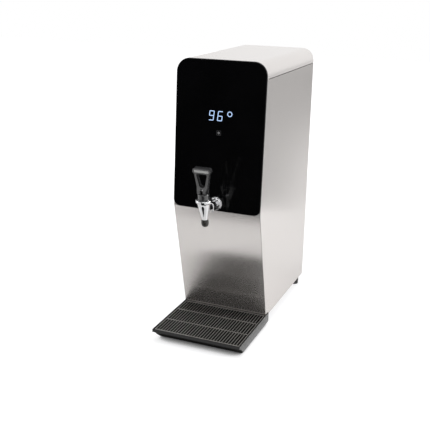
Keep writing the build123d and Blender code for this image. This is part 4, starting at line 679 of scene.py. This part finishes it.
def coiled(name, sides, radius, start, roll, pitch, turns, steps):
    """A coil on Z: a small ring of some sides is screwed upwards, and its two ends are closed."""
    bpy.ops.mesh.primitive_circle_add(vertices=sides, radius=radius, location=start)
    coil = bpy.context.object
    coil.name = name
    coil.rotation_euler = (pi / 2, 0, roll)
    bpy.ops.object.transform_apply(location=True, rotation=True, scale=True)
    apply_modifier(
        coil, "SCREW", axis="Z", screw_offset=pitch, iterations=turns,
        steps=steps, render_steps=steps, use_merge_vertices=True,
    )
    bpy.ops.object.mode_set(mode="EDIT")
    bpy.ops.mesh.select_all(action="SELECT")
    bpy.ops.mesh.fill_holes(sides=sides)
    bpy.ops.mesh.select_all(action="SELECT")
    bpy.ops.mesh.normals_make_consistent(inside=False)
    bpy.ops.object.mode_set(mode="OBJECT")
    return coil


spring = coiled(
    "tap_spring_coil", wire_sides, wire_radius, (spring_radius, 0, spring_low), 0,
    (spring_high - spring_low) / spring_coils, spring_coils, coil_steps,
)
spring_wire = patterned(
    "spring_wire_drawn", (0.42, 0.41, 0.39), (0.56, 0.55, 0.52), (1, 1, 1), 900, (0.2, 0.32), 0.04, 1.0
)
finish_piece(settle(spring, tap_place), spring_wire, "cabinet", "bolt_steel", "tap_spring")
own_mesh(spring)

# Lever: a black gloss moulding, an open loop under a wide bar that the hand pulls forward.
# Its forked foot holds the pin, and the foot's rounded front edge is the cam that lifts the stem.
pin_rise, lever_round, lever_round_steps, sharp_angle = 0.046, 0.0016, 5, radians(40)
lever_foot_low, lever_foot_high = (-0.0100, -0.0116, -0.0067), (0.0100, 0.0080, 0.0020)
lever_stages = [((0, 0.0015, 0.007), (1.25, 0.55, 1)), ((0, 0, 0.0305), (1.37, 1, 1))]
cam_round, cam_top, bar_round, round_steps = 0.0045, -0.006, 0.005, 8
hole_low, hole_high, hole_flare = (-0.0058, -0.02, 0.0080), (0.0058, 0.02, 0.0394), (2.25, 1, 1)
fork_low, fork_high = (-0.0033, -0.02, -0.01), (0.0033, 0.02, 0.0058)
lever_bar_half, lever_bar_foot, lever_bar_top, lever_bar_depth = 0.0202, 0.0394, 0.051, 0.0065
lever_place = tap_place @ Matrix.Translation((0, 0, pin_rise))


def ease_all(piece, width, segments):
    """Rounds all the sharp edges of a piece."""
    apply_modifier(
        piece, "BEVEL", width=width, segments=segments, limit_method="ANGLE", angle_limit=sharp_angle
    )


lever = block("tap_lever_loop", lever_foot_low, lever_foot_high)
choose(lambda middle, direction: direction.z > aligned)
for stage_shift, stage_scale in lever_stages:
    bpy.ops.mesh.extrude_region_move(TRANSFORM_OT_translate={"value": stage_shift})
    bpy.ops.transform.resize(value=stage_scale)
ease(
    lambda middle, direction: abs(direction.x) > aligned and middle.y < 0 and middle.z < cam_top,
    cam_round, round_steps,
)
bpy.ops.object.mode_set(mode="OBJECT")
hole = block("lever_hole", hole_low, hole_high)
choose(lambda middle, direction: direction.z > aligned)
bpy.ops.transform.resize(value=hole_flare)
ease(lambda middle, direction: abs(direction.y) > aligned, cam_round, round_steps)
bpy.ops.object.mode_set(mode="OBJECT")
combine(lever, hole)
bar = block(
    "lever_bar",
    (-lever_bar_half, -lever_bar_depth, lever_bar_foot), (lever_bar_half, lever_bar_depth, lever_bar_top),
)
ease(lambda middle, direction: abs(direction.y) > aligned, bar_round, round_steps)
bpy.ops.object.mode_set(mode="OBJECT")
combine(lever, bar, "UNION")
fork = block("lever_fork", fork_low, fork_high)
bpy.ops.object.mode_set(mode="OBJECT")
combine(lever, fork)
ease_all(lever, lever_round, lever_round_steps)
finish_piece(settle(lever, lever_place), smoked_plastic, "tap_lever_arm", "lever_black", "tap_lever")

# Lever label: a thin plain strip of white plastic, let into the front of the bar.
# Its corners are rounded and its face is lightly textured.
label_half_width, label_half_height, label_middle, label_thickness = 0.0165, 0.0025, 0.0452, 0.0006
label_corner, label_rim = 0.0015, 0.0002

label = block(
    "lever_label_strip",
    (-label_half_width, -lever_bar_depth - label_thickness, label_middle - label_half_height),
    (label_half_width, -lever_bar_depth, label_middle + label_half_height),
)
ease(lambda middle, direction: abs(direction.y) > aligned, label_corner, 5)
ease(lambda middle, direction: direction.y < -aligned, label_rim, 2, "FACE")
bpy.ops.object.mode_set(mode="OBJECT")
label_white = patterned(
    "label_white", (0.34, 0.34, 0.335), (0.42, 0.42, 0.415), (1, 1, 1), 500, (0.3, 0.45), 0.05
)
finish_piece(settle(label, lever_place), label_white, "tap_lever_arm", "label_white", "lever_label")

# Drip tray: one charcoal plastic moulding, finely textured outside. Inside and below, a duller
# matt copy of its plastic stands in for the shade there: painted shade.
# Its front overhangs, its keel is drawn in, and its side walls run past the casing's corners.
tray_half, tray_front, tray_back = 0.10695, -0.2485, -0.0545
tray_foot, tray_top, tray_wall = 0.0015, 0.0310, 0.0016
rim_foot, ledge_foot, keel_top = 0.0240, 0.0215, 0.0095
ledge_in, toe_in, keel_in = 0.0080, 0.0290, 0.0044
notch_half, notch_front, notch_foot, notch_top = 0.10535, -0.0727, 0.0250, 0.1
tray_heart, painted_shade_tilt, tray_ease = Vector((0, -0.15, 0.02)), -0.3, 0.0005

tray = block("drip_tray_basin", (-tray_half, tray_front, tray_foot), (tray_half, tray_back, tray_top))
for cut in (rim_foot, ledge_foot, keel_top):
    bpy.ops.mesh.select_all(action="SELECT")
    bpy.ops.mesh.bisect(plane_co=(0, 0, cut), plane_no=(0, 0, 1))
toe_slope = (toe_in - ledge_in) / (ledge_foot - tray_foot)
keel_top_in = ledge_in + toe_slope * (ledge_foot - keel_top)
for height, inward in ((ledge_foot, ledge_in), (keel_top, keel_top_in), (tray_foot, toe_in)):
    choose(
        lambda middle, direction: abs(middle.z - height) < same and middle.y < tray_front + same, "VERT"
    )
    bpy.ops.transform.translate(value=(0, inward, 0))
for side in (-1, 1):
    choose(lambda middle, direction: middle.z < tray_foot + same and middle.x * side > 0, "VERT")
    bpy.ops.transform.translate(value=(-side * keel_in, 0, 0))
choose(lambda middle, direction: direction.z > aligned)
bpy.ops.mesh.delete(type="FACE")
bpy.ops.object.mode_set(mode="OBJECT")
apply_modifier(tray, "SOLIDIFY", thickness=tray_wall, offset=-1, use_even_offset=True)
notch = block("tray_notch", (-notch_half, notch_front, notch_foot), (notch_half, 0, notch_top))
bpy.ops.object.mode_set(mode="OBJECT")
combine(tray, notch)
ease_all(tray, tray_ease, 2)
tray_plastic = patterned(
    "tray_textured_charcoal", (0.004, 0.0038, 0.0036), (0.016, 0.0155, 0.015), (1, 1, 0.25), 1100,
    (0.16, 0.28), 0.2,
)
tune(tray_plastic, "Specular IOR Level", 0.35)
tune(tray_plastic, "Sheen Weight", 0.5)
tune(tray_plastic, "Sheen Roughness", 0.3)
finish_piece(tray, tray_plastic, "drip_tray_basin", "tray_plastic", "drip_tray")
# Faces turned inwards or downwards take this duller copy of the plastic: painted shade.
tray_painted_shade = patterned(
    "tray_matt_painted_shade", (0.008, 0.008, 0.007), (0.018, 0.017, 0.016), (1, 1, 1), 1100, (0.7, 0.9), 0.25
)
tune(tray_painted_shade, "Specular IOR Level", 0.1)
paint(
    tray, tray_painted_shade,
    lambda middle, direction: (middle - tray_heart).dot(direction) < 0 or direction.z < painted_shade_tilt,
)

# Grille: a black coated plate of narrow bars that lies on a ledge inside the tray.
# Two cross bars tie the bars together, and the top of every crown is painted light: a painted highlight.
grille_half, grille_front, grille_back = 0.10275, -0.2443, -0.0729
grille_foot, grille_top, grille_border, grille_end = 0.0277, 0.0302, 0.0020, 0.0034
slot_count, slot_width, cross_width, row_step = 30, 0.0052, 0.0036, 0.0595
highlight_foot, crown_round, cross_round, plate_ease = 0.0298, 0.0005, 0.0009, 0.0006
# Light colour painted on the top of every crown, a painted highlight.
crown_highlight_colour = (0.150, 0.143, 0.133)

slot_step = (2 * (grille_half - grille_border) - slot_width) / (slot_count - 1)
bar_width = slot_step - slot_width
frame_plate = block(
    "drip_grille_plate", (-grille_half, grille_front, grille_foot), (grille_half, grille_back, grille_top)
)
choose(lambda middle, direction: abs(direction.z) > aligned)
bpy.ops.mesh.inset(thickness=grille_border, use_boundary=True)
bpy.ops.mesh.bridge_edge_loops()
for end, shift in ((grille_front, 1), (grille_back, -1)):
    choose(
        lambda middle, direction: 0.5 * grille_border < abs(middle.y - end) < 1.5 * grille_border
        and abs(middle.x) < grille_half - touch,
        "VERT",
    )
    bpy.ops.transform.translate(value=(0, shift * (grille_end - grille_border), 0))
bpy.ops.object.mode_set(mode="OBJECT")
bar_middle = -(slot_count / 2 - 1) * slot_step
grille_bar = block(
    "grille_bar",
    (bar_middle - bar_width / 2, grille_front + grille_end, grille_foot),
    (bar_middle + bar_width / 2, grille_back - grille_end, grille_top),
)
ease(
    lambda middle, direction: abs(direction.y) > aligned and middle.z > grille_top - hair,
    crown_round, 3,
)
bpy.ops.object.mode_set(mode="OBJECT")
apply_modifier(
    grille_bar, "ARRAY", count=slot_count - 1, use_relative_offset=False, use_constant_offset=True,
    constant_offset_displace=(slot_step, 0, 0),
)
grille_pieces = [grille_bar]
for row in (1, 2):
    cross_back = grille_front + grille_end + row * row_step
    cross = block(
        "grille_cross",
        (-grille_half + grille_border, cross_back - cross_width, grille_foot),
        (grille_half - grille_border, cross_back, grille_top),
    )
    ease(
        lambda middle, direction: abs(direction.x) > aligned and middle.z > grille_top - touch,
        cross_round, 3,
    )
    bpy.ops.object.mode_set(mode="OBJECT")
    grille_pieces.append(cross)
ease_all(frame_plate, plate_ease, 3)
grille_coat = patterned(
    "grille_coat_painted_highlight", (0.008, 0.0075, 0.007), (0.016, 0.015, 0.014), (1, 1, 1), 900, (0.25, 0.4), 0.2
)
nodes, links = grille_coat.node_tree.nodes, grille_coat.node_tree.links
grille_point = nodes.new("ShaderNodeTexCoord")
grille_height = nodes.new("ShaderNodeSeparateXYZ")
# The colour turns lighter towards the crowns' tops: a painted highlight.
painted_highlight_mask = map_range(nodes, highlight_foot, grille_top - hair, 0, 1)
highlight_tint = nodes.new("ShaderNodeMix")
highlight_tint.data_type = "RGBA"
highlight_tint.inputs["B"].default_value = (*crown_highlight_colour, 1)
coat_colour = nodes["Principled BSDF"].inputs["Base Color"]
coat_tint = coat_colour.links[0].from_socket
links.new(grille_point.outputs["Object"], grille_height.inputs[0])
links.new(grille_height.outputs["Z"], painted_highlight_mask.inputs["Value"])
links.new(painted_highlight_mask.outputs["Result"], highlight_tint.inputs["Factor"])
links.new(coat_tint, highlight_tint.inputs["A"])
links.new(highlight_tint.outputs["Result"], coat_colour)
tune(grille_coat, "Specular IOR Level", 0.6)
grille = join(frame_plate, *grille_pieces)
finish_piece(grille, grille_coat, "drip_tray_grille", "grille_plastic", "drip_grille")

# Feet: four black rubber cones, each held by a bolt up its middle, with a rounded tread.
# Four thin rubber discs are glued under the drip tray.
foot_places = [(x, y, 0) for x in (-0.088, 0.088) for y in (-0.0335, 0.2170)]
foot_profile = [
    (0.0065, 0.0), (0.0096, 0.0), (0.0103, 0.0003), (0.0106, 0.0010), (0.0119, 0.0245),
    (0.0118, 0.0255), (0.0113, 0.0260), (0.0033, 0.0260), (0.0033, 0.0140), (0.0065, 0.0140),
]
pad_places = [(x, y, 0) for x in (-0.08095, 0.08095) for y in (-0.1930, -0.0810)]
pad_profile = [(0.0055, 0.0), (0.0058, 0.0001), (0.0060, 0.0004), (0.0060, 0.0015)]


def copies(piece, places, turn=Matrix.Identity(4)):
    """Copies a piece, each copy with its own mesh, turns the copies, moves them and joins them."""
    made = []
    for place in places:
        copy = piece.copy()
        copy.data = piece.data.copy()
        copy.data.transform(Matrix.Translation(place) @ turn)
        bpy.context.collection.objects.link(copy)
        made.append(copy)
    bpy.data.objects.remove(piece)
    return join(*made)


rubber = patterned(
    "rubber_black", (0.016, 0.016, 0.016), (0.032, 0.031, 0.030), (1, 1, 1), 700, (0.6, 0.8), 0.4
)
feet = copies(turned("rubber_foot", foot_profile), foot_places)
finish_piece(feet, rubber, "cabinet", "rubber_black", "rubber_feet")
pads = copies(turned("tray_pad", pad_profile, 32, hollow=False), pad_places)
finish_piece(pads, rubber, "drip_tray_basin", "rubber_black", "tray_pads")

# Casing screws: zinc plated button heads with a hexagon socket, all of one size.
# Eight hold the back panel, two the lid's lip and four the base plate.
screw_profile = [
    (0.0014, -0.0080), (0.0020, -0.0074), (0.0020, 0.0), (0.0038, 0.0), (0.0038, 0.0005),
    (0.0036, 0.0011), (0.0032, 0.0016), (0.0026, 0.0020), (0.0018, 0.0022),
]
head_height, socket_radius, socket_depth = 0.0022, 0.00135, 0.0013
back_foot, back_height = 0.0260, 0.5676
back_face, base_face, screw_x = 0.2325, 0.0260, 0.0978
back_screw_heights = [back_foot + share * back_height for share in (0.04, 0.36, 0.68, 0.96)]
back_screw_places = [(x, back_face, z) for x in (-screw_x, screw_x) for z in back_screw_heights]
lid_screw_places = [(x, back_face, 0.6070) for x in (-0.045, 0.045)]
base_screw_places = [(x, y, base_face) for x in (-screw_x, screw_x) for y in (0.0239, 0.1497)]

button_screw = turned("button_screw", screw_profile, 32, hollow=False)
bore(button_screw, socket_radius, (0, 0, head_height), 2 * socket_depth, 6)
zinc_bright = patterned(
    "zinc_bright", (0.50, 0.50, 0.49), (0.64, 0.64, 0.62), (1, 1, 1), 700, (0.22, 0.34), 0.05, 1.0
)
screw_sets = [
    ("back_screw_heads", back_screw_places, -pi / 2, "back_screws"),
    ("lid_screw_heads", lid_screw_places, -pi / 2, "lid_screws"),
    ("base_screw_heads", base_screw_places, pi, "base_screws"),
]
for name, places, turn, node in screw_sets:
    one = button_screw.copy()
    one.data = button_screw.data.copy()
    bpy.context.collection.objects.link(one)
    screws = copies(one, places, Matrix.Rotation(turn, 4, "X"))
    screws.name = name
    finish_piece(screws, zinc_bright, "cabinet", "bolt_steel", node)
bpy.data.objects.remove(button_screw)
dress(zinc_bright, "foot_bolts", "tank_bolts", "tank_nuts")

# Cable gland: a black nylon hexagon and a ribbed dome nut, screwed through the back panel.
# Its bore is empty, and a locknut holds it inside.
gland_x, gland_z = 0.0760, 0.0620
gland_profile = [
    (0.0050, 0.0140), (0.0078, 0.0140), (0.0090, 0.0135), (0.0097, 0.0126), (0.0100, 0.0112),
    (0.0100, 0.0060), (0.0080, 0.0055), (0.0080, -0.0160), (0.0050, -0.0160),
]
gland_bore, gland_hex_radius, gland_hex = 0.0050, 0.0130, 0.0060
gland_corner_ease, gland_end_ease = 0.0008, 0.0007
rib_count, rib_depth, rib_foot, rib_head, rib_radius = 48, 0.0004, 0.0065, 0.0110, 0.0095

gland_dome = turned("mains_gland_nut", gland_profile, rib_count)
bpy.ops.object.mode_set(mode="EDIT")
choose(
    lambda middle, direction: rib_foot < middle.z < rib_head and middle.xy.length > rib_radius
    and int((middle.xy.angle_signed(Vector((1, 0))) % (2 * pi)) / (2 * pi) * rib_count) % 3 == 0
)
bpy.ops.mesh.extrude_faces_move(TRANSFORM_OT_shrink_fatten={"value": -rib_depth})
bpy.ops.object.mode_set(mode="OBJECT")
bpy.ops.mesh.primitive_cylinder_add(
    vertices=6, radius=gland_hex_radius, depth=gland_hex, location=(0, 0, gland_hex / 2)
)
gland_hexagon = bpy.context.object
bpy.ops.object.mode_set(mode="EDIT")
ease(lambda middle, direction: abs(direction.z) > aligned, gland_corner_ease, 2)
ease(lambda middle, direction: direction.z > aligned, gland_end_ease, 2, "FACE")
bpy.ops.object.mode_set(mode="OBJECT")
bore(gland_hexagon, gland_bore, (0, 0, 0))
gland = join(gland_dome, gland_hexagon)
gland_place = Matrix.Translation((gland_x, back_face, gland_z)) @ Matrix.Rotation(-pi / 2, 4, "X")
gland_nylon = patterned(
    "gland_nylon_black", (0.020, 0.020, 0.021), (0.040, 0.040, 0.041), (1, 1, 1), 800, (0.4, 0.55), 0.2
)
finish_piece(settle(gland, gland_place), gland_nylon, "cabinet", "gland_nylon", "mains_gland")
dress(gland_nylon, "gland_locknut")

# Water inlet: a white nylon solenoid valve whose stub stands out of the back panel.
# A coarse pipe thread runs round the stub, and a moulded coil drives the valve from below.
inlet_x, inlet_z, stub_radius = -0.0550, 0.0820, 0.0132
thread_pitch, thread_turns, thread_height, thread_start, thread_steps = 0.0018, 7, 0.0008, 0.0018, 48

thread = coiled(
    "inlet_thread", 3, thread_height, (stub_radius, 0, thread_start), pi,
    thread_pitch, thread_turns, thread_steps,
)
thread_place = Matrix.Translation((inlet_x, back_face, inlet_z)) @ Matrix.Rotation(-pi / 2, 4, "X")
white_nylon = patterned(
    "nylon_white", (0.62, 0.61, 0.57), (0.74, 0.73, 0.69), (1, 1, 1), 500, (0.35, 0.5), 0.1
)
finish_piece(settle(thread, thread_place), white_nylon, "cabinet", "valve_plastic")
dress(white_nylon, "inlet_valve", "board_standoffs", "display_standoffs")
coil_resin = patterned(
    "coil_resin_black", (0.012, 0.013, 0.016), (0.026, 0.028, 0.034), (1, 1, 1), 400, (0.4, 0.6), 0.15
)
dress(coil_resin, "valve_coil", "power_relay")

# Folded plates: the base, the tank's shelf and the control bracket are galvanised steel sheet,
# laser cut and folded, with the mottled bloom that hot zinc leaves.
zinc_sheet = patterned(
    "zinc_sheet_mottled", (0.40, 0.42, 0.44), (0.60, 0.62, 0.65), (1, 1, 1), 90, (0.32, 0.5), 0.03, 1.0
)
dress(zinc_sheet, "base_plate", "tank_shelf", "control_bracket")

# Boiler tank: a deep drawn stainless shell and its flanged lid, bolted together over a gasket.
# The overflow pipe is of the same steel, and both keep the dull bloom of pickling.
tank_satin = patterned(
    "tank_steel_satin", (0.46, 0.45, 0.43), (0.58, 0.57, 0.55), (1, 1, 12), 160, (0.3, 0.45), 0.04, 1.0
)
dress(tank_satin, "tank_shell", "tank_lid", "overflow_pipe", "level_probes", "temperature_sensor")

# Insulation jacket: a mat of mineral felt wrapped round the tank to keep its heat in.
# It is pale and fibrous, and its long edges are stitched together.
jacket_felt = patterned(
    "jacket_felt_fibrous", (0.52, 0.49, 0.42), (0.74, 0.71, 0.64), (1, 1, 0.3), 650, (0.85, 0.98), 0.9
)
dress(jacket_felt, "insulation_jacket")

# Heating element: a looped sheath of nickel steel, brazed into a flange that seals on the tank.
# Heat has darkened and blued its surface.
sheath_steel = patterned(
    "element_sheath_blued", (0.16, 0.14, 0.13), (0.34, 0.31, 0.28), (1, 6, 1), 110, (0.3, 0.5), 0.08, 1.0
)
dress(sheath_steel, "heating_element")

# Seals and hoses: moulded silicone, milky and slightly dusty. The hoses are pushed on to their
# stubs, and the seals are clamped between flanges.
milky_silicone = patterned(
    "silicone_milky", (0.56, 0.54, 0.50), (0.68, 0.66, 0.62), (1, 1, 1), 240, (0.35, 0.55), 0.06
)
dress(milky_silicone, "tank_gasket", "element_seal_ring", "fill_pipe", "outlet_sleeve", "tap_seat_cup")

# Electrics: glass fibre boards, a phenolic cut-out, an anodised heat sink and moulded terminals,
# screwed to the bracket and the base. The display block is black and sits behind the glass.
board_green = patterned(
    "board_green_lacquer", (0.008, 0.085, 0.030), (0.020, 0.150, 0.060), (1, 1, 1), 260, (0.25, 0.4), 0.1
)
dress(board_green, "control_board", "display_board")
display_resin = patterned(
    "display_block_black", (0.006, 0.006, 0.007), (0.014, 0.014, 0.015), (1, 1, 1), 300, (0.3, 0.45), 0.05
)
dress(display_resin, "display_block")
phenolic_brown = patterned(
    "phenolic_brown", (0.040, 0.018, 0.010), (0.085, 0.040, 0.022), (1, 1, 1), 350, (0.35, 0.5), 0.1
)
dress(phenolic_brown, "overheat_cutout")
sink_metal = patterned(
    "sink_anodised", (0.30, 0.31, 0.32), (0.40, 0.41, 0.42), (1, 8, 1), 120, (0.35, 0.5), 0.05, 1.0
)
dress(sink_metal, "heat_sink")
terminal_cream = patterned(
    "terminal_cream", (0.58, 0.54, 0.44), (0.70, 0.66, 0.55), (1, 1, 1), 420, (0.4, 0.55), 0.1
)
dress(terminal_cream, "terminal_block")

# Tap fittings behind the glass: a turned brass locknut on the shank and two rubber washers,
# which clamp the shank to the steel, with the touch key's brass pad.
turned_brass = patterned(
    "brass_turned", (0.55, 0.38, 0.15), (0.72, 0.52, 0.24), (1, 6, 1), 200, (0.2, 0.35), 0.05, 1.0
)
dress(turned_brass, "tap_locknut", "touch_pad")
dress(rubber, "tap_face_washer", "tap_back_washer")
